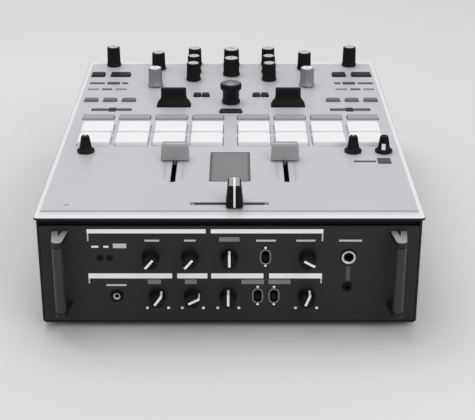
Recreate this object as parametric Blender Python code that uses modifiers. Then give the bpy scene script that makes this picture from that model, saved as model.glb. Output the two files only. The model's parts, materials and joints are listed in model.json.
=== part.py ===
"""Two-channel scratch mixer, modelled as an assembly of separate pieces.

Metres, +Z up. X runs to the player's right and Y from the player to the back. The origin lies on
the surface that the feet stand on, at the middle of the mixer's footprint.
"""

import math

import bmesh
import bpy
from mathutils import Matrix

# Case
PLATE_WIDTH = 0.305
PLATE_DEPTH = 0.410
PLATE_RIM = 0.0020
PLATE_CROWN = 0.0005
PLATE_FRONT_BEVEL = 0.010
PLATE_BACK_BEVEL = 0.009
PLATE_SIDE_BEVEL = 0.004
BODY_HEIGHT = 0.094
SHEET = 0.0015
PANEL_SHEET = 0.002
PANEL_FLANGE = 0.012
SIDE_SETBACK = 0.002
FRONT_SETBACK = 0.003
REAR_SETBACK = 0.003
SHADOW_GAP = 0.002
FOOT_HEIGHT = 0.005
FOOT_RADIUS = 0.010
FOOT_INSET = 0.032

# Clearances
GAP = 0.0003
SLIDE_CLEARANCE = 0.0007
KEY_CLEARANCE = 0.0005
SHAFT_CLEARANCE = 0.00075
FUSE = 0.0005
OVERCUT = 0.003
MERGE_DISTANCE = 0.00001

# Knobs: radii and heights above the surface that they stand over
KNOB_SIDES = 16
SHAFT_RADIUS = 0.003
SHAFT_DEPTH = 0.008
KNOB_LIFT = 0.0007
TALL_KNOB_RADIUS = 0.0076
TALL_KNOB_HEIGHT = 0.0185
TALL_KNOB_EDGE = 0.0006
TALL_KNOB_FOOT = 0.0060
FILTER_KNOB_HEIGHT = 0.0195
CORNER_KNOB_HEIGHT = 0.0210
CENTRE_KNOB_RADIUS = 0.0088
CENTRE_KNOB_HEIGHT = 0.0185
SKIRT_RADIUS = 0.0077
SKIRT_HEIGHT = 0.0030
SKIRT_KNOB_HEIGHT = 0.0150
SKIRT_STEM_RADIUS = 0.0038
SKIRT_STEM_EDGE = 0.0009
SKIRT_STEM_FOOT_RADIUS = 0.0050
SKIRT_STEM_FOOT_HEIGHT = 0.0075
ENCODER_BASE_RADIUS = 0.0084
ENCODER_TOP_RADIUS = 0.0104
ENCODER_TOP_THICKNESS = 0.0045
ENCODER_EDGE = 0.0011
ENCODER_HEIGHT = 0.0205
FRONT_KNOB_RADIUS = 0.0068
FRONT_KNOB_HEIGHT = 0.0120
FRONT_KNOB_EDGE = 0.0008

# Top plate layout: distances from the centre line, the front edge and the back edge
TONE_KNOB_X = 0.039
TONE_KNOB_INSETS = (0.0125, 0.040, 0.065)
TRIM_KNOB_X = 0.077
TRIM_KNOB_INSET = 0.0275
FILTER_KNOB_INSET = 0.0845
CORNER_KNOB_EDGE = 0.027
CORNER_KNOB_INSET = 0.0155
CENTRE_KNOB_INSETS = (0.0155, 0.048)
ENCODER_INSET = 0.137
SKIRT_KNOB_FRONT = 0.141
SKIRT_KNOB_LEFT_EDGE = 0.0255
SKIRT_KNOB_RIGHT_EDGES = (0.0445, 0.0175)

# Pads, pressed down against their silicone springs
PAD_COLUMNS = 4
PAD_ROWS = 2
PAD_WIDTH = 0.0292
PAD_LENGTH = 0.0255
PAD_HEIGHT = 0.004
PAD_CHAMFER = 0.001
PAD_FLANGE = 0.0014
PAD_FLANGE_THICKNESS = 0.0012
PAD_GAP_X = 0.0045
PAD_GAP_Y = 0.004
PAD_CENTRE_GAP = 0.0135
PADS_FRONT = 0.1555
PAD_TRAVEL = 0.0012

# Faders
FADER_TRAVEL = 0.045
FADER_X = 0.0475
FADER_FRONT = 0.1005
CROSSFADER_FRONT = 0.0275
CROSSFADER_REST_X = 0.004
CAP_WIDTH = 0.0245
CAP_LENGTH = 0.0115
CAP_HEIGHT = 0.0140
CAP_FOOT = 0.0035
CAP_TAPER = 0.0012
CROSS_CAP_WIDTH = 0.0225
CROSS_CAP_LENGTH = 0.0135
CROSS_CAP_HEIGHT = 0.0180
CROSS_CAP_TAPER = 0.0020
CAP_LIFT = 0.0010
STEM_THICKNESS = 0.0028
STEM_LENGTH = 0.006
STEM_DEPTH = 0.009
SLOT_SPARE = 0.004
FADER_UNIT_MARGIN = 0.008
FADER_UNIT_WIDTH = 0.016
FADER_UNIT_DROP = 0.005

# Paddles, which rock about an axle just under the plate
PADDLE_X = 0.0555
PADDLE_INSET = 0.1435
PADDLE_FOOT_LENGTH = 0.032
PADDLE_FOOT_RADIUS = 0.007
PADDLE_AXLE_DROP = 0.0035
PADDLE_BLADE_WIDTH = 0.0246
PADDLE_BLADE_THICKNESS = 0.005
PADDLE_HEIGHT = 0.0175
PADDLE_TIP_HEIGHT = 0.0025
PADDLE_TIP_EDGE = 0.0008
PADDLE_SIDES = 20

# Keypads: key sizes and centres
MAT_THICKNESS = 0.0012
MAT_MARGIN = 0.0025
KEY_HEIGHT = 0.0018
MODE_KEY_LENGTH = 0.011
MODE_KEY_GAP = 0.0135
MODE_KEY_SPREAD = 0.0008
EFFECT_KEY_EDGES = (0.015, 0.0335, 0.052)
EFFECT_KEY_SIZE = (0.013, 0.0075)
EFFECT_KEY_INSET = 0.130
NARROW_KEY_WIDTH = 0.0135
WIDE_KEY_WIDTH = 0.020
TOP_KEY_LENGTH = 0.012
TOP_KEY_INSET = 0.0485
TOP_KEY_EDGE = 0.007
TOP_KEY_GAP = 0.0065
LOAD_KEY_X = (0.0253, 0.0335)
LOAD_KEY_SIZE = (0.007, 0.0095)
LOAD_KEY_INSET = 0.1145
CENTRE_KEY_SIZE = (0.021, 0.009)
CENTRE_KEY_INSET = 0.163

# Meter window
METER_WIDTH = 0.0345
METER_LENGTH = 0.0675
METER_FRONT = 0.107
METER_THICKNESS = 0.0009
METER_LEDGE = 0.002

# Front panel: distances from the centre line and below the plate's top
FRONT_UPPER_DROP = 0.035
FRONT_LOWER_DROP = 0.0695
FRONT_UPPER_KNOBS = {"mic_level": -0.062, "mic_tone": -0.031, "aux_level": 0.0, "cue_mix": 0.0615}
FRONT_LOWER_KNOBS = {
    "contour_left": -0.0575,
    "contour_right": -0.0295,
    "crossfader_curve": -0.001,
    "phones_level": 0.0615,
}
UPPER_SWITCHES = {"cue_select": 0.0285}
LOWER_SWITCHES = {"reverse_left": 0.0225, "reverse_right": 0.0355}
SWITCH_TRAVEL = 0.005
SWITCH_LEVER = (0.0032, 0.0042)
SWITCH_REACH = 0.003
SWITCH_BACKING = 0.0015
SWITCH_BACKING_MARGIN = 0.0012
PHONES_X = 0.094
PHONES_BORE = 0.00325
PHONES_RING = 0.0062
MINI_JACK_DROP = 0.0615
MINI_JACK_BORE = 0.00175
AUX_JACK_X = -0.090
JACK_RING_HEIGHT = 0.0018
JACK_DEPTH = 0.014
JACK_WALL = 0.002

# Guard handles: an upright rod between two flat arms
HANDLE_EDGE = 0.018
HANDLE_ROD_RADIUS = 0.0042
HANDLE_STANDOFF = 0.018
HANDLE_TOP_DROP = 0.0127
HANDLE_SPAN = 0.0661
HANDLE_ARM = 0.004
HANDLE_ARM_ROOT = 0.0134
HANDLE_NOSE_RADIUS = 0.0045
HANDLE_NOSE_STEPS = 8

# Rear panel: sockets by distance from the centre line and height above the feet
PHONO_COLUMNS = (-0.124, -0.102, -0.080, -0.058, -0.030, -0.008)
PHONO_HEIGHTS = (0.044, 0.062)
PHONO_RADIUS = 0.0042
PHONO_REACH = 0.009
STUB_SIDES = 12
GROUND_POSTS = (-0.113, -0.069)
GROUND_HEIGHT = 0.026
GROUND_RADIUS = 0.003
GROUND_REACH = 0.007
BALANCED_X = (0.052, 0.086)
BALANCED_HEIGHT = 0.056
BALANCED_BORE = 0.0095
SOCKET_WALL = 0.002
SOCKET_DEPTH = 0.011
DATA_X = (0.014, 0.032)
DATA_HEIGHT = 0.028
DATA_OPENING = (0.0086, 0.0080)
INLET_X = 0.122
INLET_HEIGHT = 0.034
INLET_OPENING = (0.0245, 0.0165)

# Circuit boards
BOARD = 0.0016
BOARD_DROP = 0.016
BOARD_MARGIN = 0.003
POT_SIZE = 0.011
PILLAR_RADIUS = 0.004
PILLAR_SIDES = 8
PILLARS = ((0.135, 0.070), (0.135, 0.250), (0.060, 0.310))
MAIN_BOARD_LIFT = 0.011
MAIN_BOARD_MARGIN = 0.020
MAIN_BOARD_BACK = 0.030
FRONT_BOARD_BACK = 0.023
FRONT_BOARD_SPAN = (-0.105, 0.075)
FRONT_BOARD_TOP_DROP = 0.024
SUPPLY_SIZE = (0.080, 0.100, 0.034)
SUPPLY_CENTRE = (0.075, 0.290)
SADDLE_LENGTH = 0.028
SADDLE_WIDTH = 0.012
SADDLE_DROP = 0.004

# Heights and edges worked out from the sizes above
PLATE_TOP = FOOT_HEIGHT + BODY_HEIGHT
PLATE_UNDER = PLATE_TOP - PLATE_CROWN - PLATE_RIM
HALF_WIDTH = PLATE_WIDTH / 2
FRONT_REACH = HANDLE_STANDOFF + HANDLE_NOSE_RADIUS - FRONT_SETBACK
BACK_REACH = PHONO_REACH - REAR_SETBACK
FRONT_EDGE = FRONT_REACH - (PLATE_DEPTH + FRONT_REACH + BACK_REACH) / 2
BACK_EDGE = FRONT_EDGE + PLATE_DEPTH
FACE_Y = FRONT_EDGE + FRONT_SETBACK
REAR_Y = BACK_EDGE - REAR_SETBACK
WALL_X = HALF_WIDTH - SIDE_SETBACK
INNER_X = WALL_X - SHEET
FLOOR_TOP = FOOT_HEIGHT + SHEET
BOARD_TOP = PLATE_UNDER - BOARD_DROP
PADDLE_AXLE_Z = PLATE_TOP - PADDLE_AXLE_DROP
PLATE_CUT = PLATE_TOP - PLATE_UNDER + 2 * OVERCUT
PANEL_CUT = 2 * (PANEL_SHEET + OVERCUT)
PAD_PITCH_X = PAD_WIDTH + PAD_GAP_X
PAD_PITCH_Y = PAD_LENGTH + PAD_GAP_Y
PAD_FIRST_X = (PAD_CENTRE_GAP + PAD_WIDTH) / 2
PADS_BACK = PADS_FRONT + PAD_ROWS * PAD_PITCH_Y - PAD_GAP_Y
MODE_KEY_FRONT = PADS_BACK + MODE_KEY_GAP
MODE_KEY_BACK = MODE_KEY_FRONT + MODE_KEY_LENGTH
SLOT_WIDTH = STEM_THICKNESS + 2 * SLIDE_CLEARANCE
SLOT_LENGTH = FADER_TRAVEL + STEM_LENGTH + 2 * SLIDE_CLEARANCE + SLOT_SPARE
SHAFT_END = PLATE_UNDER - SHAFT_DEPTH + GAP - PLATE_TOP
SIDES = (("left", -1), ("right", 1))

for old in list(bpy.data.objects):
    bpy.data.objects.remove(old, do_unlink=True)

MIXER = bpy.data.collections.new("scratch_mixer")
TOOLS = bpy.data.collections.new("shaping_tools")
bpy.context.scene.collection.children.link(MIXER)
bpy.context.scene.collection.children.link(TOOLS)
ROOT = bpy.data.objects.new("mixer_frame", None)
MIXER.objects.link(ROOT)


def finish(name, colour, roughness, metallic=0.0):
    """A Principled material with one colour."""
    material = bpy.data.materials.new(name)
    material.use_nodes = True
    shader = material.node_tree.nodes["Principled BSDF"]
    shader.inputs["Base Color"].default_value = (*colour, 1.0)
    shader.inputs["Roughness"].default_value = roughness
    shader.inputs["Metallic"].default_value = metallic
    return material


SILVER_PAINT = finish("silver_plate", (0.56, 0.56, 0.60), 0.45, 0.3)
CHARCOAL_PAINT = finish("charcoal_panel", (0.025, 0.025, 0.027), 0.55)
BLACK_STEEL = finish("black_steel", (0.018, 0.018, 0.019), 0.5, 0.4)
BLACK_KNOB = finish("black_knob", (0.012, 0.012, 0.013), 0.45)
SILVER_KNOB = finish("silver_knob", (0.35, 0.35, 0.37), 0.35, 0.6)
PAD_WHITE = finish("pad_silicone", (0.80, 0.80, 0.81), 0.6)
CAP_GREY = finish("fader_cap_grey", (0.30, 0.30, 0.31), 0.5)
KEY_GREY = finish("key_silicone", (0.10, 0.10, 0.11), 0.65)
WINDOW_GREY = finish("meter_window", (0.24, 0.24, 0.25), 0.15)
BOARD_GREEN = finish("circuit_board", (0.02, 0.12, 0.05), 0.5)


def place(name, data, material, location=(0, 0, 0), rotation=(0, 0, 0)):
    """A named piece of the mixer."""
    piece = bpy.data.objects.new(name, data)
    data.materials.clear()
    data.materials.append(material)
    piece.location = location
    piece.rotation_euler = rotation
    piece.parent = ROOT
    MIXER.objects.link(piece)
    return piece


def to_mesh(name, shape):
    """A mesh from a bmesh, which is freed."""
    data = bpy.data.meshes.new(name)
    shape.to_mesh(data)
    shape.free()
    return data


def tool(name, shape):
    """A wire object that cuts or joins other pieces and isn't a piece itself."""
    shaper = bpy.data.objects.new(name, to_mesh(name, shape))
    shaper.display_type = "WIRE"
    shaper.hide_render = True
    TOOLS.objects.link(shaper)
    return shaper


def combine(piece, operation, shape):
    """Cuts a piece with a shape or joins the shape to it."""
    step = piece.modifiers.new(operation.lower(), "BOOLEAN")
    step.operation = operation
    step.object = tool(f"{piece.name}_{operation.lower()}_{len(piece.modifiers)}", shape)


def add_box(shape, centre, size):
    fit = Matrix.Translation(centre) @ Matrix.Diagonal((*size, 1.0))
    bmesh.ops.create_cube(shape, size=1.0, matrix=fit)


def add_span(shape, low, high):
    """A box between two corners."""
    centre = [(a + b) / 2 for a, b in zip(low, high)]
    size = [b - a for a, b in zip(low, high)]
    add_box(shape, centre, size)


def add_rod(shape, centre, radius, length, axis="Z", sides=KNOB_SIDES):
    turn = {
        "X": Matrix.Rotation(math.pi / 2, 4, "Y"),
        "Y": Matrix.Rotation(math.pi / 2, 4, "X"),
        "Z": Matrix.Identity(4),
    }
    bmesh.ops.create_cone(
        shape,
        cap_ends=True,
        segments=sides,
        radius1=radius,
        radius2=radius,
        depth=length,
        matrix=Matrix.Translation(centre) @ turn[axis],
    )


def add_stack(shape, sections):
    """A block from rectangular sections (low x, high x, low y, high y, z), the lowest first."""
    cube = bmesh.ops.create_cube(shape, size=1.0)["verts"]
    lower = [corner for corner in cube if corner.co.z < 0]
    upper = [corner for corner in cube if corner.co.z > 0]
    fit_section(lower, sections[0])
    top = next(face for face in shape.faces if set(face.verts) == set(upper))
    fit_section(upper, sections[1])
    for section in sections[2:]:
        top = bmesh.ops.extrude_discrete_faces(shape, faces=[top])["faces"][0]
        fit_section(top.verts, section)


def fit_section(corners, section):
    """Moves four corners to a rectangle, keeping each corner's side."""
    low_x, high_x, low_y, high_y, z = section
    corners = list(corners)
    middle_x = sum(corner.co.x for corner in corners) / 4
    middle_y = sum(corner.co.y for corner in corners) / 4
    for corner in corners:
        x = high_x if corner.co.x > middle_x else low_x
        y = high_y if corner.co.y > middle_y else low_y
        corner.co = (x, y, z)


def centred(width, length, z, x=0, y=0):
    """A section around a point."""
    return (x - width / 2, x + width / 2, y - length / 2, y + length / 2, z)


def folded_sheet(name, profile, sweep, thickness, material):
    """Sheet metal: an open profile swept along a vector, with its thickness on the profile's left."""
    shape = bmesh.new()
    points = [shape.verts.new(point) for point in profile]
    lines = [shape.edges.new(pair) for pair in zip(points, points[1:])]
    swept = bmesh.ops.extrude_edge_only(shape, edges=lines)["geom"]
    moved = [item for item in swept if isinstance(item, bmesh.types.BMVert)]
    bmesh.ops.translate(shape, verts=moved, vec=sweep)
    piece = place(name, to_mesh(name, shape), material)
    wall = piece.modifiers.new("wall", "SOLIDIFY")
    wall.thickness = thickness
    wall.offset = -1.0
    wall.use_even_offset = True
    return piece


def turned(name, profile, material, location, rotation=(0, 0, 0)):
    """A turned piece: a profile of (radius, height), from the top down its outer side."""
    shape = bmesh.new()
    points = [shape.verts.new((radius, 0, height)) for radius, height in profile]
    for pair in zip(points, points[1:]):
        shape.edges.new(pair)
    piece = place(name, to_mesh(name, shape), material, location, rotation)
    lathe = piece.modifiers.new("lathe", "SCREW")
    lathe.steps = KNOB_SIDES
    lathe.render_steps = KNOB_SIDES
    lathe.use_merge_vertices = True
    lathe.merge_threshold = MERGE_DISTANCE
    lathe.use_smooth_shade = True
    return piece


def from_front(distance):
    return FRONT_EDGE + distance


def from_back(distance):
    return BACK_EDGE - distance


def tall_profile(radius, height):
    """A straight knob with a waist, a rounded top edge and a shaft below."""
    edge = TALL_KNOB_EDGE
    return (
        (0, height),
        (radius - 2 * edge, height),
        (radius - edge, height - edge),
        (radius - edge, TALL_KNOB_FOOT),
        (radius, KNOB_LIFT),
        (SHAFT_RADIUS, KNOB_LIFT),
        (SHAFT_RADIUS, SHAFT_END),
        (0, SHAFT_END),
    )


def skirt_profile():
    """A slim stem on a wide skirt."""
    return (
        (0, SKIRT_KNOB_HEIGHT),
        (SKIRT_STEM_RADIUS - SKIRT_STEM_EDGE, SKIRT_KNOB_HEIGHT),
        (SKIRT_STEM_RADIUS, SKIRT_KNOB_HEIGHT - SKIRT_STEM_EDGE),
        (SKIRT_STEM_FOOT_RADIUS, SKIRT_STEM_FOOT_HEIGHT),
        (SKIRT_RADIUS, SKIRT_HEIGHT),
        (SKIRT_RADIUS, KNOB_LIFT),
        (SHAFT_RADIUS, KNOB_LIFT),
        (SHAFT_RADIUS, SHAFT_END),
        (0, SHAFT_END),
    )


def encoder_profile():
    """A push encoder with a wide top on a narrower body."""
    brim = ENCODER_HEIGHT - ENCODER_TOP_THICKNESS
    return (
        (0, ENCODER_HEIGHT),
        (ENCODER_TOP_RADIUS - ENCODER_EDGE, ENCODER_HEIGHT),
        (ENCODER_TOP_RADIUS, ENCODER_HEIGHT - ENCODER_EDGE),
        (ENCODER_TOP_RADIUS, brim),
        (ENCODER_BASE_RADIUS, brim - (ENCODER_TOP_RADIUS - ENCODER_BASE_RADIUS)),
        (ENCODER_BASE_RADIUS, KNOB_LIFT),
        (SHAFT_RADIUS, KNOB_LIFT),
        (SHAFT_RADIUS, SHAFT_END),
        (0, SHAFT_END),
    )


def front_profile():
    """A short knob for the front panel."""
    back = PANEL_SHEET + SHAFT_DEPTH - GAP
    return (
        (0, FRONT_KNOB_HEIGHT),
        (FRONT_KNOB_RADIUS - FRONT_KNOB_EDGE, FRONT_KNOB_HEIGHT),
        (FRONT_KNOB_RADIUS, FRONT_KNOB_HEIGHT - FRONT_KNOB_EDGE),
        (FRONT_KNOB_RADIUS, KNOB_LIFT),
        (SHAFT_RADIUS, KNOB_LIFT),
        (SHAFT_RADIUS, -back),
        (0, -back),
    )


def top_knobs():
    """Every knob on the plate: name, (x, y), profile and finish."""
    tall = tall_profile(TALL_KNOB_RADIUS, TALL_KNOB_HEIGHT)
    satin = tall_profile(TALL_KNOB_RADIUS, FILTER_KNOB_HEIGHT)
    corner = tall_profile(TALL_KNOB_RADIUS, CORNER_KNOB_HEIGHT)
    centre = tall_profile(CENTRE_KNOB_RADIUS, CENTRE_KNOB_HEIGHT)
    skirt = skirt_profile()
    knobs = []
    for side, sign in SIDES:
        corner_x = sign * (HALF_WIDTH - CORNER_KNOB_EDGE)
        trim_x = sign * TRIM_KNOB_X
        knobs.append((f"effect_knob_{side}", (corner_x, from_back(CORNER_KNOB_INSET)), corner, BLACK_KNOB))
        knobs.append((f"trim_knob_{side}", (trim_x, from_back(TRIM_KNOB_INSET)), tall, BLACK_KNOB))
        knobs.append((f"filter_knob_{side}", (trim_x, from_back(FILTER_KNOB_INSET)), satin, SILVER_KNOB))
        for tone, inset in zip(("high", "mid", "low"), TONE_KNOB_INSETS):
            knobs.append((f"{tone}_knob_{side}", (sign * TONE_KNOB_X, from_back(inset)), tall, BLACK_KNOB))
    for name, inset in zip(("master_knob", "booth_knob"), CENTRE_KNOB_INSETS):
        knobs.append((name, (0, from_back(inset)), centre, BLACK_KNOB))
    knobs.append(("browse_encoder", (0, from_back(ENCODER_INSET)), encoder_profile(), BLACK_KNOB))
    skirt_y = from_front(SKIRT_KNOB_FRONT)
    knobs.append(("cue_knob", (SKIRT_KNOB_LEFT_EDGE - HALF_WIDTH, skirt_y), skirt, BLACK_KNOB))
    for name, edge in zip(("split_knob", "beat_knob"), SKIRT_KNOB_RIGHT_EDGES):
        knobs.append((name, (HALF_WIDTH - edge, skirt_y), skirt, BLACK_KNOB))
    return knobs


def front_controls(upper, lower):
    """(name, x, z) of the controls in the front panel's two rows."""
    rows = ((upper, FRONT_UPPER_DROP), (lower, FRONT_LOWER_DROP))
    return [(name, x, PLATE_TOP - drop) for row, drop in rows for name, x in row.items()]


def pad_places():
    """(name, x, y) of every pad, numbered along the front row and then the back row of each deck."""
    places = []
    for side, sign in SIDES:
        for row in range(PAD_ROWS):
            for column in range(PAD_COLUMNS):
                step = PAD_COLUMNS - 1 - column if sign < 0 else column
                x = sign * (PAD_FIRST_X + step * PAD_PITCH_X)
                y = from_front(PADS_FRONT + PAD_LENGTH / 2 + row * PAD_PITCH_Y)
                places.append((f"pad_{side}_{row * PAD_COLUMNS + column + 1}", x, y))
    return places


def keys(side, sign):
    """(x, y, width, length) of every key on one keypad."""
    found = []
    for column in range(PAD_COLUMNS):
        x = sign * (PAD_FIRST_X + column * (PAD_PITCH_X + MODE_KEY_SPREAD))
        y = from_front((MODE_KEY_FRONT + MODE_KEY_BACK) / 2)
        found.append((x, y, PAD_WIDTH, MODE_KEY_LENGTH))
    for edge in EFFECT_KEY_EDGES:
        found.append((sign * (HALF_WIDTH - edge), from_back(EFFECT_KEY_INSET), *EFFECT_KEY_SIZE))
    widths = (NARROW_KEY_WIDTH, WIDE_KEY_WIDTH)[::-sign]
    edge = TOP_KEY_EDGE
    for width in widths:
        x = sign * (HALF_WIDTH - edge - width / 2)
        found.append((x, from_back(TOP_KEY_INSET), width, TOP_KEY_LENGTH))
        edge += width + TOP_KEY_GAP
    for x in LOAD_KEY_X:
        found.append((sign * x, from_back(LOAD_KEY_INSET), *LOAD_KEY_SIZE))
    if side == "right":
        found.append((0.0, from_back(CENTRE_KEY_INSET), *CENTRE_KEY_SIZE))
    return found


def make_bottom_pan():
    """Floor and side walls from one folded sheet, standing on four feet."""
    top = PLATE_UNDER - GAP
    profile = ((-WALL_X, top), (-WALL_X, FOOT_HEIGHT), (WALL_X, FOOT_HEIGHT), (WALL_X, top))
    pan = folded_sheet(
        "bottom_pan",
        [(x, FACE_Y, z) for x, z in profile],
        (0, REAR_Y - FACE_Y, 0),
        SHEET,
        BLACK_STEEL,
    )
    feet = bmesh.new()
    for x in (-WALL_X + FOOT_INSET, WALL_X - FOOT_INSET):
        for y in (FACE_Y + FOOT_INSET, REAR_Y - FOOT_INSET):
            add_rod(feet, (x, y, (FOOT_HEIGHT + FUSE) / 2), FOOT_RADIUS, FOOT_HEIGHT + FUSE)
    combine(pan, "UNION", feet)


def make_top_plate():
    """The lid: a plate with a low bevelled rim and an opening for every control."""
    shape = bmesh.new()
    rim = (-HALF_WIDTH, HALF_WIDTH, FRONT_EDGE, BACK_EDGE)
    flat = (
        PLATE_SIDE_BEVEL - HALF_WIDTH,
        HALF_WIDTH - PLATE_SIDE_BEVEL,
        FRONT_EDGE + PLATE_FRONT_BEVEL,
        BACK_EDGE - PLATE_BACK_BEVEL,
    )
    add_stack(shape, ((*rim, PLATE_UNDER), (*rim, PLATE_UNDER + PLATE_RIM), (*flat, PLATE_TOP)))
    plate = place("top_plate", to_mesh("top_plate", shape), SILVER_PAINT)
    holes = bmesh.new()
    middle = (PLATE_TOP + PLATE_UNDER) / 2

    def plate_hole(x, y, width, length, clearance):
        size = (width + 2 * clearance, length + 2 * clearance, PLATE_CUT)
        add_box(holes, (x, y, middle), size)

    for _, (x, y), _, _ in top_knobs():
        add_rod(holes, (x, y, middle), SHAFT_RADIUS + SHAFT_CLEARANCE, PLATE_CUT)
    for _, x, y in pad_places():
        plate_hole(x, y, PAD_WIDTH, PAD_LENGTH, KEY_CLEARANCE)
    for side, sign in SIDES:
        for x, y, width, length in keys(side, sign):
            plate_hole(x, y, width, length, KEY_CLEARANCE)
        paddle = (PADDLE_FOOT_LENGTH, 2 * PADDLE_FOOT_RADIUS)
        plate_hole(sign * PADDLE_X, from_back(PADDLE_INSET), *paddle, KEY_CLEARANCE)
        plate_hole(sign * FADER_X, from_front(FADER_FRONT), SLOT_WIDTH, SLOT_LENGTH, 0)
    plate_hole(0, from_front(CROSSFADER_FRONT), SLOT_LENGTH, SLOT_WIDTH, 0)
    recess = METER_THICKNESS + 2 * GAP
    add_box(
        holes,
        (0, from_front(METER_FRONT), PLATE_TOP),
        (METER_WIDTH + 2 * GAP, METER_LENGTH + 2 * GAP, 2 * recess),
    )
    combine(plate, "DIFFERENCE", holes)
    light_well = bmesh.new()
    add_box(
        light_well,
        (0, from_front(METER_FRONT), middle),
        (METER_WIDTH - 2 * METER_LEDGE, METER_LENGTH - 2 * METER_LEDGE, PLATE_CUT),
    )
    combine(plate, "DIFFERENCE", light_well)


def make_meter_window():
    shape = bmesh.new()
    low = PLATE_TOP - GAP - METER_THICKNESS
    add_box(
        shape,
        (0, from_front(METER_FRONT), low + METER_THICKNESS / 2),
        (METER_WIDTH, METER_LENGTH, METER_THICKNESS),
    )
    place("meter_window", to_mesh("meter_window", shape), WINDOW_GREY)


def make_front_panel():
    """Channel-section panel with knob holes, switch slots and the headphone sockets."""
    bottom = FLOOR_TOP + GAP
    top = PLATE_UNDER - SHADOW_GAP
    half = INNER_X - GAP
    back = FACE_Y + PANEL_FLANGE
    profile = ((back, top), (FACE_Y, top), (FACE_Y, bottom), (back, bottom))
    panel = folded_sheet(
        "front_panel",
        [(half, y, z) for y, z in profile],
        (-2 * half, 0, 0),
        PANEL_SHEET,
        CHARCOAL_PAINT,
    )
    sockets = (
        (PHONES_X, PLATE_TOP - FRONT_UPPER_DROP, PHONES_BORE, PHONES_RING),
        (PHONES_X, PLATE_TOP - MINI_JACK_DROP, MINI_JACK_BORE, MINI_JACK_BORE + JACK_WALL),
        (AUX_JACK_X, PLATE_TOP - FRONT_LOWER_DROP, MINI_JACK_BORE, MINI_JACK_BORE + JACK_WALL),
    )
    barrels = bmesh.new()
    bores = bmesh.new()
    barrel_length = JACK_RING_HEIGHT + PANEL_SHEET + JACK_DEPTH
    for x, z, bore, ring in sockets:
        middle = FACE_Y - JACK_RING_HEIGHT + barrel_length / 2
        add_rod(barrels, (x, middle, z), ring, barrel_length, "Y")
        add_rod(bores, (x, middle - JACK_WALL, z), bore, barrel_length, "Y")
    for _, x, z in front_controls(FRONT_UPPER_KNOBS, FRONT_LOWER_KNOBS):
        add_rod(bores, (x, FACE_Y, z), SHAFT_RADIUS + SHAFT_CLEARANCE, PANEL_CUT, "Y")
    for _, x, z in front_controls(UPPER_SWITCHES, LOWER_SWITCHES):
        width, height = SWITCH_LEVER
        slot_height = height + SWITCH_TRAVEL + 2 * SLIDE_CLEARANCE
        add_box(bores, (x, FACE_Y, z), (width + 2 * SLIDE_CLEARANCE, PANEL_CUT, slot_height))
    combine(panel, "UNION", barrels)
    combine(panel, "DIFFERENCE", bores)


def add_stub(shape, x, z, radius, reach):
    """A short rod that stands out from the rear panel."""
    length = reach + PANEL_SHEET
    add_rod(shape, (x, REAR_Y + reach - length / 2, z), radius, length, "Y", STUB_SIDES)


def make_rear_panel():
    """Angle-section panel that carries the sockets."""
    bottom = FLOOR_TOP + GAP
    half = INNER_X - GAP
    profile = ((REAR_Y, PLATE_UNDER - GAP), (REAR_Y, bottom), (REAR_Y - PANEL_FLANGE, bottom))
    panel = folded_sheet(
        "rear_panel",
        [(-half, y, z) for y, z in profile],
        (2 * half, 0, 0),
        PANEL_SHEET,
        BLACK_STEEL,
    )
    bodies = bmesh.new()
    hollows = bmesh.new()
    for x in PHONO_COLUMNS:
        for z in PHONO_HEIGHTS:
            add_stub(bodies, x, z, PHONO_RADIUS, PHONO_REACH)
    for x in GROUND_POSTS:
        add_stub(bodies, x, GROUND_HEIGHT, GROUND_RADIUS, GROUND_REACH)
    shell = SOCKET_DEPTH + SOCKET_WALL
    shell_y = REAR_Y - PANEL_SHEET + FUSE - shell / 2
    for x in BALANCED_X:
        add_rod(bodies, (x, shell_y, BALANCED_HEIGHT), BALANCED_BORE + SOCKET_WALL, shell, "Y")
        add_rod(hollows, (x, REAR_Y, BALANCED_HEIGHT), BALANCED_BORE, 2 * SOCKET_DEPTH, "Y")
    openings = [(x, DATA_HEIGHT, DATA_OPENING) for x in DATA_X]
    openings.append((INLET_X, INLET_HEIGHT, INLET_OPENING))
    for x, z, (width, height) in openings:
        outer = (width + 2 * SOCKET_WALL, shell, height + 2 * SOCKET_WALL)
        add_box(bodies, (x, shell_y, z), outer)
        add_box(hollows, (x, REAR_Y, z), (width, 2 * SOCKET_DEPTH, height))
    combine(panel, "UNION", bodies)
    combine(panel, "DIFFERENCE", hollows)


def add_prism(shape, corners, low, high):
    """An upright block over (x, y) corners, which run anticlockwise seen from above."""
    foot = [shape.verts.new((x, y, low)) for x, y in corners]
    top = [shape.verts.new((x, y, high)) for x, y in corners]
    shape.faces.new(reversed(foot))
    shape.faces.new(top)
    for i in range(len(corners)):
        shape.faces.new((foot[i - 1], foot[i], top[i], top[i - 1]))


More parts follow.
